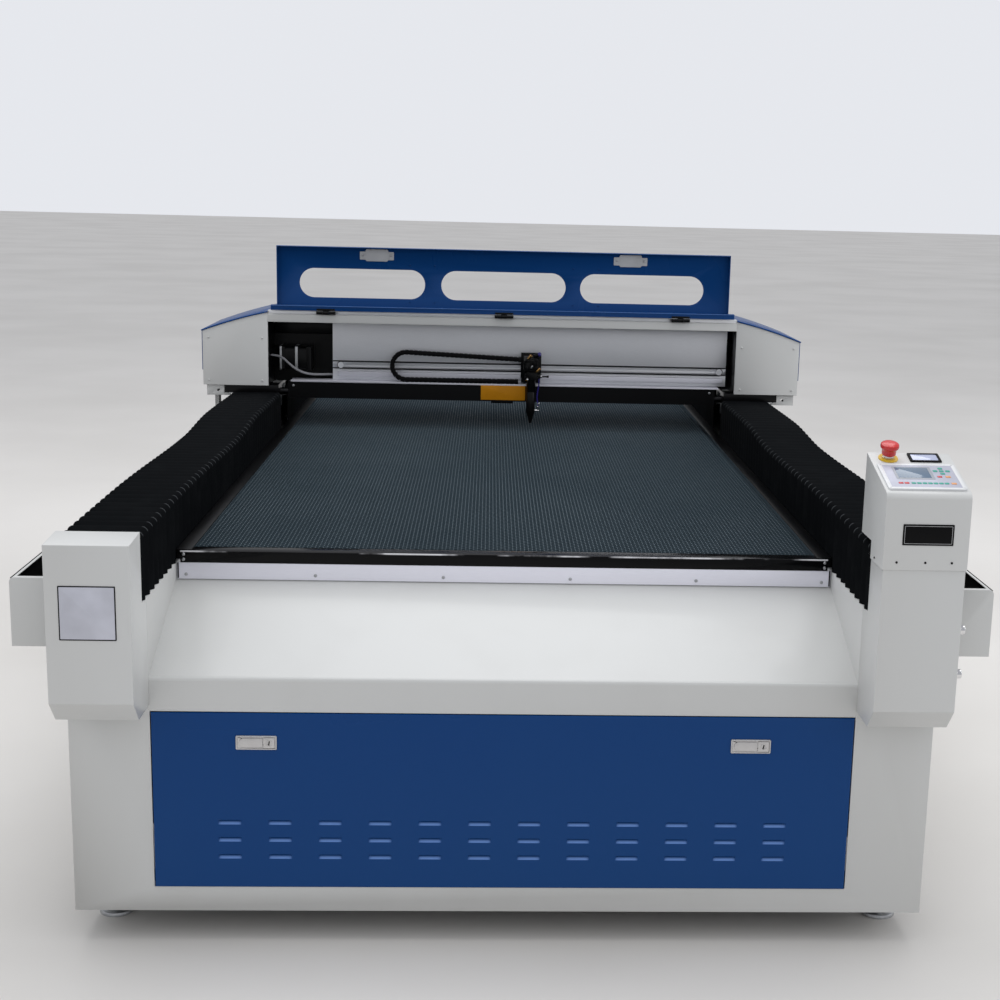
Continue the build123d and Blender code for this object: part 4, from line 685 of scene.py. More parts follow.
def pleated_skin(sign, still, moving, pleats, marks):
    """Rings of the skin from its still end to its moving end: a triangle wave with eased tips says how far
    each ring draws in, and the depth of the wave falls by (1 + cos) / 2 towards the moving end. The painted
    highlight of a point, which greys the cloth, is 1 at the corners of a crest on one face of each fold and
    0 in the valleys."""
    steps, eased = np.array([0, 0.12, 0.5, 0.88]), np.array([0, 0.07, 0.5, 0.93])
    half = np.repeat(np.arange(2 * pleats), len(steps))
    t = np.append((half + np.tile(steps, 2 * pleats)) / (2 * pleats), 1.0)
    up = np.tile(eased, 2 * pleats)
    valley = np.append(np.where(half % 2 == 0, 1 - up, up), 1.0)
    y = still + (moving - still) * t
    draw = valley * (flat_fold + more_fold * (1 + np.cos(math.pi * t)) / 2)
    top = eased_heights(y, marks) - draw
    middle, reach = (inner_x + outer_x) / 2, (outer_x - inner_x) / 2 - draw
    bend = crest_bend + valley * more_bend
    low = np.full_like(y, bellows_foot)
    angle = np.linspace(0, math.pi / 2, 5)

    def path(inset):
        side_x = (reach - inset)[:, None]
        round_ = (bend - inset)[:, None]
        left = -side_x + round_ * (1 - np.cos(angle))
        rise = (top - inset)[:, None] - round_ * (1 - np.sin(angle))
        u = np.concatenate([-side_x, left, -left[:, ::-1], side_x], 1)
        v = np.concatenate([low[:, None], rise, rise[:, ::-1], low[:, None]], 1)
        return u, v

    outer, inner = path(0.0), path(skin_thickness)
    u, v = (np.concatenate([a, b[:, ::-1]], 1) for a, b in zip(outer, inner))
    rings = np.stack([sign * (middle + u), np.broadcast_to(y[:, None], u.shape), v], -1)
    painted_highlight = np.zeros(u.shape)
    # Only the face of each fold that is turned to the lamp gets the painted highlight at its crest corners.
    facing = np.append(half % 2, 0)
    middles_of_arcs = [2, 3, 4, 7, 8, 9]
    painted_highlight[:, middles_of_arcs] = (facing * (1 - valley) ** 0.5)[:, None]
    return rings, painted_highlight


# %% [markdown]
# Cloth that is fixed at one end and pulled at the other moves in step with its distance from the
# still end. A blend turns smoothly, not evenly, so the skin is cut into seven lengths, and for each the
# start and end at which the smooth turn has the right share at both of its edges are worked out. The
# lengths are left standing where they are made.


# %% Lengths of skin
def turn_at(share):
    """The t at which the smooth turn t * t * (3 - 2 t) has a share: 1/2 - sin(asin(1 - 2 share) / 3)."""
    return 0.5 - math.sin(math.asin(1 - 2 * share) / 3)


def following_skin(name, skin, node):
    """Cuts a skin into seven lengths in place of the solid one, and works out for each the start and end of
    a smooth turn.
    """
    rings, painted_highlight = skin
    y = rings[:, 0, 1]
    marks = [round(cut * (len(y) - 1)) for cut in (0, 0.01, 0.05, 0.2, 0.8, 0.95, 0.99, 1)]
    for k, (first, last) in enumerate(zip(marks, marks[1:])):
        ta, tb = (turn_at((y[i] - y[0]) / (y[-1] - y[0])) for i in (first, last))
        run = (y[last] - y[first]) / (tb - ta)
        start = y[first] - ta * run
        shape = loft(rings[first : last + 1])
        length = piece(f"{name}_{k + 1}", shape, None, "bellows_cloth", flat_angle=50)
        set_painted_highlight(length, painted_highlight[first : last + 1].ravel())
        start * MM
        (start + run) * MM
        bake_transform(length)
        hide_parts(node)


front_marks = [(-1568, 843), (-1100, 847), (-430, 838), (-60, 853), (400, 849)]
rear_marks = [(560, 849), (1568, 844)]
for hand, sign in HANDS:
    following_skin(f"front_skin_{hand}", pleated_skin(sign, -1568, 400, 48, front_marks), "front_bellows")
    following_skin(f"rear_skin_{hand}", pleated_skin(sign, 1568, 560, 28, rear_marks), "rear_bellows")
skins = [o for o in bpy.data.objects if o.name.startswith(("front_skin", "rear_skin"))]
print("bellows in", len(skins), "lengths")

# %% [markdown]
# ## Cable chains
# A cable chain is a row of equal links. One link is a loft of rounded rectangles with a narrower
# neck, and whole arrays of places and directions along the route set all the links at once. The bend
# of a chain moves half as far as its moving end.


# %% Links along a route
def link_shape(length, width, height):
    """One link about its middle, as rings of rounded rectangles: full size, then a step down to a neck."""
    flat, out = rectangle(-width / 2, width / 2, -height / 2, height / 2, height * 0.16, 2)
    at = np.array([-0.5, -0.46, 0.2, 0.24, 0.5]) * length
    inset = np.array([0.6, 0.0, 0.0, 1.0, 1.0])
    rings = flat[None] - out[None] * inset[:, None, None]
    return np.concatenate([np.broadcast_to(at[:, None, None], (*rings.shape[:2], 1)), rings], 2)


def route_places(start, bend, radius, finish_at, low, high, pitch):
    """Middles and directions of links along a straight, a half circle and a straight: by length run, the
    place is on the first line, then centre + radius * (sin a, -cos a), then on the last line."""
    way = math.copysign(1, bend - start)
    first = abs(bend - start)
    rest = np.array([finish_at[0] - bend, finish_at[1] - high])
    last = math.hypot(*rest)
    total = first + math.pi * radius + last
    count = int(total // pitch)
    run = (np.arange(count) + 0.5) * total / count
    a = np.clip((run - first) / radius, 0, math.pi)
    done = np.clip((run - first - math.pi * radius) / last, 0, 1)
    along = start + way * np.minimum(run, first) + way * radius * np.sin(a) + done * rest[0]
    height = low + radius * (1 - np.cos(a)) + done * rest[1]
    turning = np.stack([way * np.cos(a), np.sin(a)], 1)
    direction = np.where((done > 0)[:, None], rest / last, turning)
    return np.stack([along, height], 1), direction, a < math.pi / 2, total / count


def chain(name, node, route, width, height, across, fixed_at, blends):
    """Both runs of a chain: links carried to their places, each run one piece. The chain stays at one
    place on the axis across it, 0 for X or 1 for Y, and runs along the other."""
    middles, direction, lower, step = route
    link = link_shape(step + 0.6, width, height)
    along = 1 - across
    for run, own, span in (("lower", lower, blends[0]), ("upper", ~lower, blends[1])):
        (m_along, m_up), (d_along, d_up) = (a[own].T[..., None, None] for a in (middles, direction))
        points = np.empty((own.sum(), *link.shape))
        points[..., along] = m_along + link[..., 0] * d_along - link[..., 2] * d_up
        points[..., 2] = m_up + link[..., 0] * d_up + link[..., 2] * d_along
        points[..., across] = fixed_at + link[..., 1]
        made = piece(f"{name}_{run}", [loft(one) for one in points], None, "black_plastic", flat_angle=40)
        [(0, v * MM, 0) if along else (v * MM, 0, 0) for v in span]
        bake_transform(made)
        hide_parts(node)
    print(name, len(middles), "links")


route = route_places(48.0, -304.0, 43.0, (48.0, 963.0), 892.8, 978.8, 14.0)
blends = ((48, -742), (-742, 48))
chain("head_chain", "x_cable_chain", route, 16.0, 14.6, 1, 421.0, blends)
route = route_places(95.0, 895.0, 40.0, (470.0, 709.9), 629.9, 709.9, 20.0)
blends = ((95, 1775), (1400, 470))
chain("gantry_chain", "y_cable_chain", route, 60.0, 33.0, 0, -899.0, blends)

# %% [markdown]
# ## Screws
# Small pan-head screws hold the strips, the hood and the lid. A screw is a turned profile: a domed
# rim that dips into a socket. A list of places and directions sets a whole row of them at once.


# %% Rows of screws
def grid(*values):
    """Every place whose x, y and z come from three lists, or from a number where there is only one."""
    return list(itertools.product(*(np.atleast_1d(v) for v in values)))


def screws(name, places, direction, radius, body="machine", slot="zinc_steel"):
    """Screw heads at a list of places, all facing one way."""
    profile = [(0.9, -0.5 / radius), (1, 0), (0.97, 0.3), (0.78, 0.55), (0.5, 0.62), (0.46, 0.25)]
    heads = [turned(np.array(profile) * radius, place, direction, 14) for place in places]
    piece(name, heads, body, slot, flat_angle=40)


front, back = (0, -1, 0), (0, 1, 0)
screws("strip_screws", grid((-671, -402, -134, 134, 402, 671), -1251, 684), front, 3.6)
screws("bar_screws", grid((-676, 676), -1251, (716, 727)), front, 3.6)
screws("hood_front_screws", grid((716, 770, 820), -1661, 830), front, 2.3, "machine", "black_paint")
screws("hood_side_screws", grid(690, (-1600, -1562), 824), (-1, 0, 0), 2.3, "machine", "black_paint")
screws("cover_screws", grid((-745, -909, 745, 909), 375, (886, 1018)), front, 3.4, "gantry", "body_paint")
screws("plate_screws", grid((-655, 655), 415, 868), front, 4.0, "gantry")
screws("catch_screws", grid((-435.5, -350.5, 345.5, 430.5), 384.5, 1278), front, 3.4, "lid")
screws("lug_screws", grid((-881.5, 881.5), 372.6, 855), front, 3.3, "gantry", "black_paint")
screws("lid_screws", grid((-291, -215, 212, 291), 386, (1138, 1250)), front, 2.6, "lid", "navy_paint")
print("screws in place")

# %% [markdown]
# ## Control panel on the hood
# The hood's top slopes towards the operator. Its pieces are drawn flat, with u across, v up the slope
# and w out of it, and then laid on the slope. A bezel is a tray, a rounded outline whose edge rises,
# turns over and dips to a sunk floor, and each window or key is a thin slab.

# %% Panel pieces laid on the slope
slope_origin = np.array([770.0, -1661.0, 960.0])
lean = math.atan2(1008.0 - 960.0, 1661.0 - 1492.0)
c, s = math.cos(lean), math.sin(lean)
slope_axes = np.array([[1, 0, 0], [0, c, s], [0, -s, c]])


def laid(shape, axes, origin):
    """Lays a shape drawn in (u, v, w) along three axes: origin + u * first + v * second + w * third."""
    return np.array(origin) + shape[0] @ np.array(axes), shape[1]


def panel_piece(name, shape, slot, node=None, look=None):
    """One piece on the slope."""
    piece(name, laid(shape, slope_axes, slope_origin), "machine", slot, node, look)


rim = [(0, 0), (0, 2.8), (0.35, 3.6), (1.2, 4), (7, 4), (7.6, 3.7), (7.8, 3)]
panel_piece("keypad_bezel", tray(rectangle(-74, 74, 14, 121, 5, 5), rim), "white_plastic", "keypad_panel")
rim = [(0, 0), (0, 2.4), (0.6, 3), (4.6, 3), (5.4, 2.0)]
panel_piece("meter_bezel", tray(rectangle(-4.5, 56.5, 134, 170, 2.5), rim), "black_plastic", "panel_meter")
plastic("membrane", (0.50, 0.51, 0.60), 0.35)
plastic("display_glass", (0.10, 0.16, 0.24), 0.12, coat=0.8)
plastic("meter_glass", (0.46, 0.50, 0.68), 0.15, coat=0.8)
plastic("green_key", (0.02, 0.36, 0.27), 0.35)
plastic("orange_key", (0.80, 0.36, 0.14), 0.35)
for name, outline, low, high, edge, slot, look in (
    ("keypad_membrane", (-66.4, 66.4, 21.6, 113.4, 2), 2.9, 3.35, 0.2, "grey_plastic", "membrane"),
    ("display_frame", (-50, 24, 54, 107, 3), 3.3, 3.7, 0.2, "grey_plastic", None),
    ("display_window", (-45, 18, 60, 103, 1), 3.6, 3.9, 0.15, "black_plastic", "display_glass"),
    ("meter_window", (1, 51, 140, 164.5, 1), 1.9, 2.4, 0.2, "black_plastic", "meter_glass"),
):
    panel_piece(name, slab(rectangle(*outline), low, high, edge, 2), slot, look=look)


def around(u, v, width, height, radius, steps=4):
    """Rounded rectangle about a middle."""
    return rectangle(u - width / 2, u + width / 2, v - height / 2, v + height / 2, radius, steps)


arrows = [(43, 101), (43, 79), (31, 90), (55, 90), (43, 90)]
greens = [(-22 + 10.4 * k, 38) for k in range(7)]
for name, places, width, height, slot, look in (
    ("red_keys", [(-46, 38), (-35, 38), (34, 66)], 9, 6.5, "red_plastic", None),
    ("orange_keys", [(54, 38), (50, 66)], 10, 7, "amber_plastic", "orange_key"),
    ("green_keys", greens, 8.4, 6.5, "grey_plastic", "green_key"),
    ("arrow_keys", arrows, 8.6, 7, "grey_plastic", "green_key"),
):
    pads = [slab(around(*place, width, height, 1.6, 3), 3.3, 4.1, 0.5, 2) for place in places]
    panel_piece(name, joined(*pads), slot, look=look)
print("panel with its keys")

# %% [markdown]
# ## Emergency stop
# The red head is a mushroom on a short skirt, over a bright bush and a yellow disc. Its profile is
# turned about the line square to the slope, and it goes down with the button's own body.

# %% Stop button
stop_centre = slope_origin + np.array([-45.0, 149.0, 0.0]) @ slope_axes
disc = [(19, 0), (19, 1.6), (18.2, 2.7), (16.5, 3), (12.2, 3), (11.9, 2.6)]
bush = [(11.5, 2.2), (11.5, 4.4), (10.9, 4.8), (10.9, 5.4), (11.5, 5.8), (11.5, 8.4), (10.9, 9)]
head = [(11.9, 17.5), (12.1, 9.6), (13.4, 9.6), (13.6, 10.2), (13.9, 17), (14.6, 20.5), (16.4, 22.6)]
head += [(17.6, 24.2), (18.0, 26.4), (17.9, 28.6), (17.0, 31.0), (14.6, 32.8), (10.0, 33.7), (5.0, 34.0)]
for name, profile, sides, body, slot, node in (
    ("stop_disc", disc, 48, "machine", "yellow_plastic", "estop_collar"),
    ("stop_bush", bush, 40, "machine", "chrome", "estop_collar"),
    ("stop_head", head, 56, "estop_button", "red_plastic", "estop_button"),
):
    piece(name, turned(profile, stop_centre, slope_axes[2], sides), body, slot, node)
print("stop button at", [round(v) for v in stop_centre])

# %% [markdown]
# ## Plates
# The flat plates on the box, the hood and the beam are left plain. Each is a thin plate with a raised
# border, which is what an engraved or printed plate has round its field.

# %% Bare plates
box_front, hood_front, door_front = 1659.0, 1661.0, 1535.0
plastic("pale_plate", (0.56, 0.57, 0.64), 0.3)


def standing(shape, front):
    """Stands a flat shape up against a front that lies at a distance before the middle."""
    return laid(shape, ((1, 0, 0), (0, 0, 1), (0, -1, 0)), (0, -front, 0))


border = tray(rectangle(-823, -719, 661, 764, 1.5), [(0, 0), (0, 0.9), (0.3, 1.2), (2.0, 1.2), (2.2, 0.9)])
line = tray(rectangle(727, 817, 866, 900, 1.5), [(0, 1.0), (0.1, 1.5), (0.9, 1.5), (1.0, 1.2)])
field = slab(rectangle(-820.9, -721.1, 663.1, 761.9, 1), 0, 1.0, 0.2, 2)
plate = slab(rectangle(724, 820, 863, 903, 1.5), 0, 1.3, 0.4, 2)
inside = slab(rectangle(728.1, 815.9, 867.1, 898.9, 1), 1.0, 1.35, 0.1, 2)
for name, shape, plane, slot, node, look in (
    ("box_plate_border", border, box_front, "black_plastic", "info_plates", None),
    ("box_plate_field", field, box_front, "grey_plastic", None, "pale_plate"),
    ("hood_plate", plate, hood_front, "black_plastic", "info_plates", None),
    ("hood_plate_line", line, hood_front, "zinc_steel", None, None),
    ("hood_plate_field", inside, hood_front, "black_plastic", None, None),
):
    piece(name, standing(shape, plane), "machine", slot, node, look)
print("plates bare")

# %% [markdown]
# ## Front door
# The door is one blue sheet that lifts off. Its louvres are pressed inwards: the sheet is cut along
# the top of each, and the metal below the cut is pushed back, so that a dark slit lies over a lip that
# catches the light. A map of depth on a grid gives that shape, and the outer lines of the grid fold
# back as the flange. The grid is a skin without thickness, and Solidify makes it a sheet. The lit part
# of each lip is also painted a lighter blue as a highlight, which an attribute of the mesh tells the finish.

# %% Door with pressed louvres
louvre_half, louvre_depth, louvre_drop = 23.0, 6.5, 9.0


def with_edges(low, high, lines):
    """Lines over a sheet and the depth of each: a flange and a round fold at both sides, and 0 between."""
    fold, depth = np.array([0.0, 0.0, 0.6, 2.0]), np.array([4.7, 2.0, 0.6, 0.0])
    place = np.concatenate([low + fold, lines.ravel(), high - fold[::-1]])
    return place, np.concatenate([depth, np.zeros(lines.size), depth[::-1]])


def pressed_door(x_span, z_span, columns, cuts):
    """Grid of the door: x lines round each louvre, z lines with two at each cut, one for the sheet above
    it and one for the lip below. Depth is the least of the fall below the cut and the rise from the ends."""
    near = np.array([-1.05, -1, -0.9, -0.8, -0.7, 0, 0.7, 0.8, 0.9, 1, 1.05]) * louvre_half
    flat_drop = louvre_drop + 1
    drop = np.array([flat_drop, louvre_drop, 6.6, 4.4, 3.4, 0])
    x, x_back = with_edges(*x_span, np.array(columns)[:, None] + near)
    z, z_back = with_edges(*z_span, np.array(cuts)[:, None] - np.append(drop, 0))
    below = np.pad(np.tile(np.append(drop, flat_drop), len(cuts)), 4, constant_values=flat_drop)
    reach = np.pad(np.abs(np.tile(near, len(columns))), 4, constant_values=louvre_half)
    fall = np.minimum(1 - below[:, None] / louvre_drop, (louvre_half - reach) / (0.3 * louvre_half))
    back = np.maximum(np.maximum(x_back, z_back[:, None]), louvre_depth * np.clip(fall, 0, 1))
    points = np.stack(np.broadcast_arrays(x, back - door_front, z[:, None]), -1)
    # A lighter blue on the lit lower part of each lip is a painted highlight.
    lit = np.interp(below, [3.4, 6.6, louvre_drop, flat_drop], [0, 1, 0.9, 0])
    painted_highlight = lit[:, None] * (1 - (reach / louvre_half) ** 8).clip(0, 1)
    quads = net(*back.shape)
    open_rows = 4 + (len(drop) + 1) * np.arange(1, len(cuts) + 1) - 2
    shut = ~np.isin(quads[:, 0] // back.shape[1], open_rows)
    return (points.reshape(-1, 3), [quads[shut]]), painted_highlight.ravel()


def without_slivers(work):
    """Takes out faces without area."""
    bmesh.ops.dissolve_degenerate(work, edges=work.edges, dist=0.00001)


louvre_columns, louvre_rows = (np.arange(12) - 5.5) * 98.4, (186.5, 222.5, 258.5)
door_shape, door_painted_highlight = pressed_door((-690, 690), (116.3, 480), louvre_columns, louvre_rows)
door = piece("door_sheet", door_shape, "front_door", "navy_paint", "front_door")
set_painted_highlight(door, door_painted_highlight)
merged(door.data, 0.00001, without_slivers)
shade(door.data, False)
sheet_metal = door.modifiers.new("sheet", "SOLIDIFY")
sheet_metal.thickness, sheet_metal.offset = 1.5 * MM, -1.0
print("door faces", len(door.data.polygons))

# %% [markdown]
# ## Door latches
# Each latch is a cast plate of satin metal with a sunk field. A lever with one round end lies in it
# and turns about a pin, beside a small box with the key barrel.

# %% Latches
rim = [(0, 0), (0, 1.7), (0.5, 2.6), (1.2, 3), (2.6, 3), (3.2, 2.4), (3.5, 1.2)]
barrel = [(6.2, 3), (6.2, 3.9), (5.6, 4.4), (4.2, 4.4), (3.9, 3.9)]
for hand, u, v in (("left", -487.0, 420.0), ("right", 485.0, 420.5)):
    plate = [tray(around(u, v, 80, 29, 2.5), rim), slab(around(u + 24.75, v, 21.5, 21, 1.5), 1, 3.4, 0.5)]
    plate.append(turned(barrel, (u + 25, v, 0), (0, 0, 1), 28))
    key = rounded([(u + 23, v - 4), (u + 25.2, v - 4.6), (u + 27, v + 4), (u + 24.8, v + 4.6)], 0.4, 2)
    lever = [(u - 33.5, v - 9.4), (u + 12.6, v - 9.4), (u + 12.6, v + 9.4), (u - 33.5, v + 9.4)]
    lever = slab(rounded(lever, [9.3, 1.2, 1.2, 9.3], 8), 1.2, 2.9, 0.7)
    paddle = f"{hand}_latch_paddle"
    for name, shape, body, slot, node, look in (
        ("plate", joined(*plate), "front_door", "zinc_steel", "door_latches", "cast_zinc"),
        ("key_slot", slab(key, 4, 4.6, 0.1, 2), "front_door", "black_plastic", None, None),
        ("lever", lever, paddle, "zinc_steel", paddle, "cast_zinc"),
    ):
        piece(f"latch_{name}_{hand}", standing(shape, door_front), body, slot, node, look)
print("latches in place")

# %% [markdown]
# ## Lid details
# The hinges are black blocks on a bright strip. The lid's own knuckles are black too, so sleeves
# that ride on the lid cover them. The catch plates have a tall middle and two low ears.


# %% Hinges, strip and catch plates
def plate_on(outline, front_y, back_y, edge=0.4):
    """Plate that stands upright between two values of Y, from an outline in X and Z."""
    return slab(outline, front_y, back_y, edge, 2, "Y")


def knuckle(radius, low, high, cut=0.5):
    """Part of a hinge's barrel between two values of X, with its ends cut by an edge."""
    profile = [(radius - cut, low), (radius, low + 0.5), (radius, high - 0.5), (radius - cut, high)]
    return turned(profile, (0, 366, 1100), (1, 0, 0), 20)


strip = plate_on(rectangle(-724, 724, 1094.6, 1103.7, 0.5), 377.0, 378.4, 0.3)
piece("hinge_strip", strip, "gantry", "bright_aluminium")
for k, x in enumerate((-548.0, 0.0, 548.0)):
    leaves = [box((x - 29, x + 29), (371.4, 378.6), (1094.8, 1104), 0.8)]
    for a, b in ((x - 29, x - 10), (x + 10, x + 29)):
        leaves += [knuckle(5.0, a, b, 0.4), box((a, b), (366, 373), (1095.0, 1100), 0.5)]
    piece(f"hinge_leaf_{k + 1}", leaves, "gantry", "black_paint", "lid_hinge_leaves")
    sleeve = [knuckle(5.4, x - 9.3, x + 9.3), box((x - 9.2, x + 9.2), (365.2, 368.4), (1100, 1108), 0.5)]
    sleeve.append(box((x - 28, x + 28), (364.6, 366.4), (1106.4, 1113), 0.5))
    piece(f"hinge_sleeve_{k + 1}", sleeve, "lid", "black_paint")
tall = [(-35, 1264), (-31, 1259.5), (31, 1259.5), (35, 1264)]
tall += [(35, 1292), (32, 1296.5), (-32, 1296.5), (-35, 1292)]
for k, x in enumerate((-393.0, 388.0)):
    ears = rectangle(x - 52, x + 52, 1264, 1289, 2.5)
    middle = rounded([(x + dx, z) for dx, z in tall], 1.5)
    plates = [plate_on(ears, 384.6, 386.2), plate_on(middle, 383.4, 386.2, 0.8)]
    piece(f"catch_plate_{k + 1}", plates, "lid", "body_paint", "lid_catch_plates", "catch_grey")
# Thin beads along the lid's folds carry a lighter blue, a painted highlight of the lit fold edges.
lower_fold = box((-714.5, 714.5), (360.6, 362.2), (1120.2, 1122.3), 0.5)
upper_fold = box((-696, 696), (367.4, 369), (1300.2, 1302), 0.4)
folds = piece("lid_fold_lines", [lower_fold, upper_fold], "lid", "navy_paint")
set_painted_highlight(folds, np.full(len(folds.data.vertices), 0.6))
print("hinges and catch plates in place")

# %% [markdown]
# ## Head
# The head is a black block with two brass adjusting knobs, a side lever and a black focus tube that
# slides in it. An air hose runs down beside the tube to a small fitting.

# %% Head and focus tube
along_hose = (0.86, -0.28, 0.36)
knobs = []
for place, way, length, r in (
    ((76, 369, 968), (0.55, -0.35, 0.75), 20, 5.0),
    ((104, 367, 930), (0.6, -0.3, 0.7), 17, 4.2),
):
    knob = [(0.5 * r, 0), (0.55 * r, 4), (r, 4.6), (r, length - 1), (0.85 * r, length)]
    knobs.append(turned(knob, place, way, 22))
piece("head_brass_knobs", knobs, "head_carriage", "brass_red")
lever = [(3.4, 0), (3.4, 12), (2.4, 13), (2.4, 26), (3.6, 27), (3.6, 32), (3.0, 33)]
dark = [
    turned([(4.0, 0), (6.2, 1), (6.2, 21), (5.6, 22), (4.0, 22)], (94, 388, 976), along_hose, 24),
    turned(lever, (110, 380, 915), (1, 0, 0), 20),
    box((70, 82), (366, 374), (938, 958), 1.0),
    box((94, 107), (365, 373), (944, 972), 1.0),
]
piece("head_black_parts", dark, "head_carriage", "black_paint")
silver = [
    turned([(2.0, 0), (3.2, 0.5), (3.2, 7), (2.6, 8)], (74, 373.5, 905), (0.3, -0.9, 0.3), 18),
    turned([(4.4, 0), (4.9, 0.6), (4.9, 4.4), (4.4, 5)], (117, 380, 915), (1, 0, 0), 6),
    turned([(2.0, 0), (3.0, 0.5), (3.0, 9), (2.4, 10)], (88, 370, 942), (0.4, -0.3, 0.85), 18),
]
piece("head_silver_parts", silver, "head_carriage", "chrome")
blue_end = turned([(5.4, 0), (6.6, 0.8), (6.6, 6.2), (5.4, 7)], (110, 382.8, 982.7), along_hose, 24)
piece("head_hose_end", blue_end, "head_carriage", "black_plastic", look="hose_blue")
profile = [(10, 917), (13.5, 917), (14, 916.4), (14, 868), (13.4, 867), (13.4, 864), (14, 863), (14, 801)]
profile += [(13.6, 799.6), (8.4, 783), (8.0, 782), (8.0, 779), (4.4, 767.5), (3.8, 766), (1.4, 766)]
tube = turned(profile, (88, 394, 0), (0, 0, 1), 40)
piece("focus_tube_body", tube, "focus_tube", "brass_red", "focus_tube", "black_paint")
fitting = [
    turned([(3.2, 0), (4.0, 0.5), (4.0, 8), (3.0, 8.6), (3.0, 14)], (101, 393, 806), (1, 0, 0), 18),
    turned([(2.4, 0), (3.4, 0.5), (3.4, 11), (2.6, 12)], (111, 393, 808), (0, 0, 1), 18),
    turned([(2.2, 0), (2.6, 0.5), (2.6, 8), (2.0, 9)], (111, 391, 826), (0.8, -0.3, 0.5), 16),
]
piece("focus_fitting", fitting, "focus_tube", "chrome")
print("head dressed")

# %% [markdown]
# ## Hoses and conduit
# Both lie on a smooth spline through the same route as the solids. A tube mesh is carried along the
# points that Blender gives for that spline. The conduit is corrugated: its radius swings with length.


# %% Tubes along a spline
def spline_points(name, route_mm):
    """Points of a smooth NURBS spline on a route given in millimetres, read from Blender, in metres."""
    curve = bpy.data.curves.new(name, "CURVE")
    curve.dimensions = "3D"
    curve.resolution_u = 24
    spline = curve.splines.new("NURBS")
    spline.points.add(len(route_mm) - 1)
    flat = np.column_stack([np.array(route_mm) * MM, np.ones(len(route_mm))])
    spline.points.foreach_set("co", flat.ravel())
    spline.order_u = 3
    spline.use_endpoint_u = True
    holder = bpy.data.objects.new(name, curve)
    line = bpy.data.meshes.new_from_object(holder)
    points = np.empty(len(line.vertices) * 3)
    line.vertices.foreach_get("co", points)
    bpy.data.objects.remove(holder)
    return points.reshape(-1, 3)


def tube_along(path, radius_at, spacing, sides=12):
    """Closed tube about a path in metres: rings at even lengths, each square to the path, with a radius
    that depends on the length run. The ring's first direction is carried along by cross products."""
    run = np.append(0, np.cumsum(np.linalg.norm(np.diff(path, axis=0), axis=1)))
    at = np.linspace(0, run[-1], int(run[-1] / spacing) + 1)
    centre = np.stack([np.interp(at, run, path[:, k]) for k in range(3)], 1)
    tangent = unit(np.gradient(centre, axis=0))
    across = unit(np.cross(tangent, (0.0, 1.0, 0.0)))
    ring = circle(across, np.cross(tangent, across), sides)
    return loft((centre[:, None] + ring * radius_at(at)[:, None, None]) / MM), run[-1]


def ribbed(s):
    """Radius of the conduit at a length, in metres: ribs 2.8 mm apart that stand 0.8 mm high."""
    return 0.0036 + 0.0004 * np.cos(s * 2 * math.pi / 0.0028)


def even_hose(s):
    """Radius of the air hose, the same all along."""
    return np.full_like(s, 0.002)


conduit_line = spline_points("conduit_line", [
    (-727, 434, 960), (-706, 434, 960), (-687, 434, 950.5), (-670, 434, 934), (-649, 435, 917),
    (-623, 438, 905), (-596, 447, 900), (-570, 462, 899), (-546, 472, 899), (-524, 472, 899),
])
shape, length = tube_along(conduit_line, ribbed, 0.0007)
conduit = piece("motor_conduit_tube", shape, "gantry", "white_plastic", "motor_conduit", "conduit_grey", 60)
print("conduit", round(length, 3), "m")
hose_line = spline_points("hose_line", [
    (112, 380, 908), (113, 380, 898), (112, 384, 882), (109, 388, 864),
    (107.5, 391, 846), (110, 393, 832), (111, 393, 820),
])
shape, length = tube_along(hose_line, even_hose, 0.003, 10)
hose = piece("air_hose", shape, None, "black_plastic", look="hose_blue", flat_angle=60)
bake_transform(hose)
print("hose", round(length, 3), "m")

# %% [markdown]
# ## Behind the opening
# The motor has bright end plates, the beam's grooves are deep with dark strips in them as painted shade,
# and the amber plate hangs on a black rest. Thin black sheets in the gaps round the opening and behind
# the vents of the rear housing are painted shade.

# %% Motor bands, grooves, painted shade sheets and the amber plate
motor = rectangle(438.6, 515.4, 912.6, 989.4, 5)
bands = [slab(motor, a, b, 0.6, axis="X") for a, b in ((-700.2, -693.6), (-652, -644))]
piece("motor_bands", bands, "gantry", "zinc_steel")
plastic("groove_grey", (0.022, 0.023, 0.025), 0.4)
# Dark strips in the beam's grooves are painted shade.
grooves = [plate_on(rectangle(-535.5, 709.5, z - 1.7, z + 1.7, 0.3), 457.4, 459, 0.1) for z in (943, 921)]
piece("beam_groove_shade", grooves, "gantry", "black_plastic", look="groove_grey")
# Black sheets that stand for the shade inside the gantry: round the opening, under the covers and behind the
# vents.
shade_sheets = [
    *both_sides((725.4, 727.2), (379, 514), (872, 1068), 0.3),
    box((-725, -537), (520, 521.5), (1019, 1068.5), 0.3),
    *both_sides((697, 864), (381, 383.4), (847, 871.5), 0.4),
    *both_sides((699, 727), (384, 454), (870.6, 872), 0.3),
    *both_sides((698.8, 700.4), (384, 470), (799, 872), 0.3),
    box((-484, 484), (730.5, 731.5), (944, 1056), 0.3),
]
piece("dark_liners", shade_sheets, "gantry", "black_paint")
piece("apron_lips", both_sides((700, 850), (380.2, 383.8), (844.5, 847.5), 0.5), "gantry", "zinc_steel")
amber = slab(rectangle(-71, 71, 834.5, 880, 2.5), 410.6, 414.6, 0.5, axis="Y")
piece("amber_panel", amber, "gantry", "amber_plastic", "amber_plate")
piece("amber_rim", plate_on(rectangle(-71, -68.6, 835, 879.5, 0.5), 410.3, 412), "gantry", "black_plastic")
piece("amber_rest", box((-36, 33), (411, 414.8), (824.3, 835), 0.8), "gantry", "black_plastic")
print("motor, grooves and amber plate done")

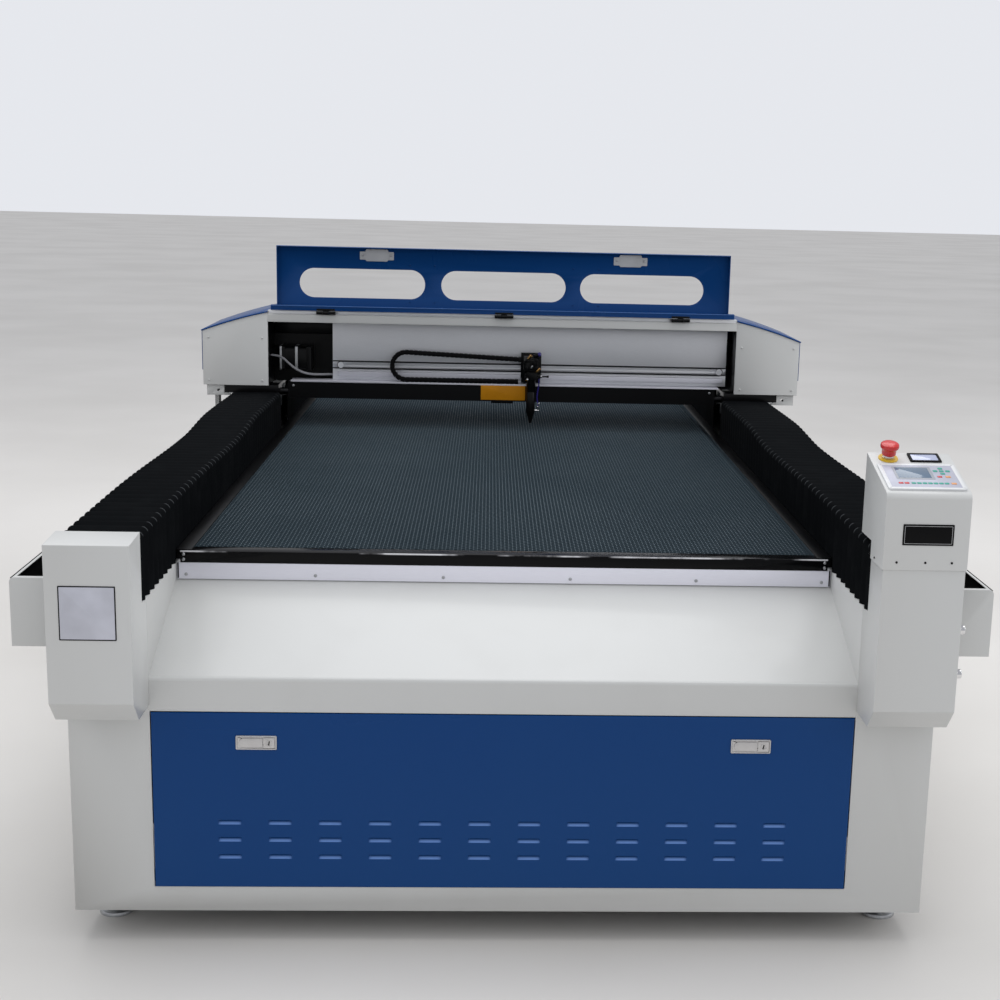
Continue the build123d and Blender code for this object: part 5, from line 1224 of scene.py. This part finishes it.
# %% [markdown]
# ## Round parts and small strips
# Spigots, feet and locks are turned with their small edges. The troughs are lined with thin black
# sheets, and thin dark strips show at the ends and along the sides of the bed, where the sheets leave a
# gap; those at the ends of the front strip are painted shade in that gap.

# %% Spigots, feet, locks and troughs
ring = [(95, 0), (95, 1.6), (94, 2.2), (77, 2.2), (75.2, 4), (75, 6), (75, 50), (76.6, 52), (76.6, 55)]
ring += [(75, 57), (75, 61.6), (74.4, 63), (73.4, 63), (73, 61.6), (73, 0)]
spigot_x, spigot_z, bolt_circle = (-300, 300), 330, 86
spigots = [turned(ring, (x, 1533, spigot_z), back, 48, hollow=True) for x in spigot_x]
piece("spigot_rings", spigots, "machine", "zinc_steel", "exhaust_spigots")
bolts = bolt_circle * np.exp(1j * (np.arange(8) * math.pi / 4 + 0.39))
spots = [(x + bolt.real, 1535, spigot_z + bolt.imag) for x in spigot_x for bolt in bolts]
screws("spigot_screws", spots, back, 4.0)
pad = [(35, 0), (35, 5), (33.5, 7.5), (16, 11), (10, 13), (8, 15), (8, 65)]
feet = grid((-800, 800), (-1400, 0, 1400), 0)
pads = [turned(pad, foot, (0, 0, 1), 32) for foot in feet]
nuts = [[(13, z), (14, z + 1), (14, z + 11), (13, z + 12)] for z in (50, 20)]
nuts = [turned(nut, foot, (0, 0, 1), 6) for foot in feet for nut in nuts]
piece("foot_pads", pads + nuts, "machine", "zinc_steel", "levelling_feet")
lock = [(12, 0), (12, 2), (11, 3), (9.2, 3.2), (9.0, 4), (9.0, 11), (8.3, 12), (6.4, 12), (6.0, 11.4)]
lock_z = (696, 609)
locks = [turned(lock, (848, -1640, z), (1, 0, 0), 36) for z in lock_z]
piece("side_key_locks", locks, "machine", "chrome", "side_locks")
slots = [box((858.9, 859.9), (-1641, -1639), (z - 4, z + 4), 0.2) for z in lock_z]
piece("side_key_slots", slots, "machine", "black_plastic")
screws("side_lock_screws", grid(848, -1640, (672, 585)), (1, 0, 0), 4.0, "machine", "black_plastic")
trough = (-1529, 1529)
lining_spans = (((852, 946), (612.2, 613.0)), ((945.8, 946.8), (613, 744.4)), ((851.4, 852.2), (613, 705)))
# Thin black sheets line the bottom and walls of each trough.
for hand, s in HANDS:
    sheets = [box((s * x[0], s * x[1]), trough, z, 0.2) for x, z in lining_spans]
    piece(f"trough_mat_{hand}", sheets, "machine", "belt_rubber")
for name, x, y, z, edge, slot in (
    # The black strips at the ends of the front strip are painted shade in the gap there.
    ("strip_end_gaps", (686.1, 688.9), (-1252.2, -1250.4), (675.5, 709), 0.3, "black_plastic"),
    ("strip_end_caps", (682, 692), (-1250.8, -1243), (709.2, 716), 0.8, "zinc_steel"),
    ("bed_side_edging", (660.35, 690.6), (-1246, 1246), (709.5, 736.2), 0.2, "black_paint"),
    ("comb_side_lips", (659.95, 660.35), (-1211, 1211), (714, 735.6), 0.1, "comb_metal"),
):
    piece(name, both_sides(x, y, z, edge), "machine", slot)
print("round parts and strips done")

# %% [markdown]
# ## Seams and screws of the panels
# The long sides and the rear are bolted panels. A seam shows as a thin dark line where two sheets
# meet, with a row of screws along it.

# %% Panel seams
side_x, rear_y = 849, 1533
sides = [both_sides((side_x - 0.1, side_x + 0.2), (y - 0.9, y + 0.9), (68, 608), 0.1) for y in (-511, 511)]
depth, seam_x, seam_z = (rear_y - 0.1, rear_y + 0.2), (-620, 620), (150, 520)
seams = sides[0] + sides[1]
seams += [box(seam_x, depth, (z - 0.9, z + 0.9), 0.1) for z in seam_z]
seams += [box((x - 0.9, x + 0.9), depth, seam_z, 0.1) for x in seam_x]
piece("panel_seams", seams, "machine", "black_plastic")
for hand, s in HANDS:
    spots = grid(s * side_x, (-1505, -533, -489, 489, 533, 1505), (105, 340, 575))
    screws(f"side_screws_{hand}", spots, (s, 0, 0), 4.2)
screws("rear_screws", grid((-600, -200, 200, 600), rear_y, (168, 502)), back, 4.2)
print("seams and screws on the sides and the rear")

# %% [markdown]
# ## Floor and light
# A plain pale floor stands under the machine. The light is that of a hall: an even sky, a wide lamp
# overhead that makes level faces brighter than upright ones, and weaker ones from the front and right.

# %% The floor, the sky and the lamps
floor_data = bpy.data.meshes.new("floor")
far = 60.0
floor_data.from_pydata([(-far, -far, 0), (far, -far, 0), (far, far, 0), (-far, far, 0)], [], [(0, 1, 2, 3)])
floor = linked("floor", floor_data)
concrete = Finish("floor_screed", (0.66, 0.64, 0.61), 0.6)
stain = concrete.noise(0.6, 5.0).between(0.3, 0.75)
concrete.set({"Base Color": concrete.blend(stain, (0.69, 0.67, 0.64), (0.62, 0.60, 0.57))})
floor_data.materials.append(finish.pop("floor_screed"))
floor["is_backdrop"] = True

world = bpy.data.worlds.new("hall")
world.use_nodes = True
bpy.context.scene.world = world
sky = Wire(world.node_tree)
seen = sky.node("ShaderNodeLightPath") + sky.node("ShaderNodeLightPath", output=2)
strength = seen.between(0.0, 1.0) * 0.35 + 0.5
sky.feed(sky.tree.nodes["Background"].inputs, {"Color": (0.93, 0.95, 1.0, 1.0), "Strength": strength})


def lamp(name, place, target, size, watts):
    """A soft square lamp that looks from its place at a target, in metres."""
    light = bpy.data.lights.new(name, "AREA")
    light.shape, light.size, light.energy = "SQUARE", size, watts
    aim = (Vector(target) - Vector(place)).to_track_quat("-Z", "Y").to_matrix().to_4x4()
    linked(name, light).matrix_world = Matrix.Translation(place) @ aim


lamp("ceiling", (0.0, 0.4, 6.0), (0.0, 0.0, 0.0), 6.0, 225.0)
lamp("front", (1.0, -6.0, 3.5), (0.0, 0.0, 0.7), 3.0, 10.0)
lamp("right_side", (6.0, -1.5, 3.0), (0.0, 0.0, 0.8), 3.0, 42.0)
bpy.context.scene.view_settings.view_transform = "Standard"

# %% [markdown]
# ## Sizes
# The box round everything that is shown, the floor left out, is printed in metres.

# %% Print the visual box
low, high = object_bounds()
print("visual box", [round(v, 3) for v in (*low, *high)])
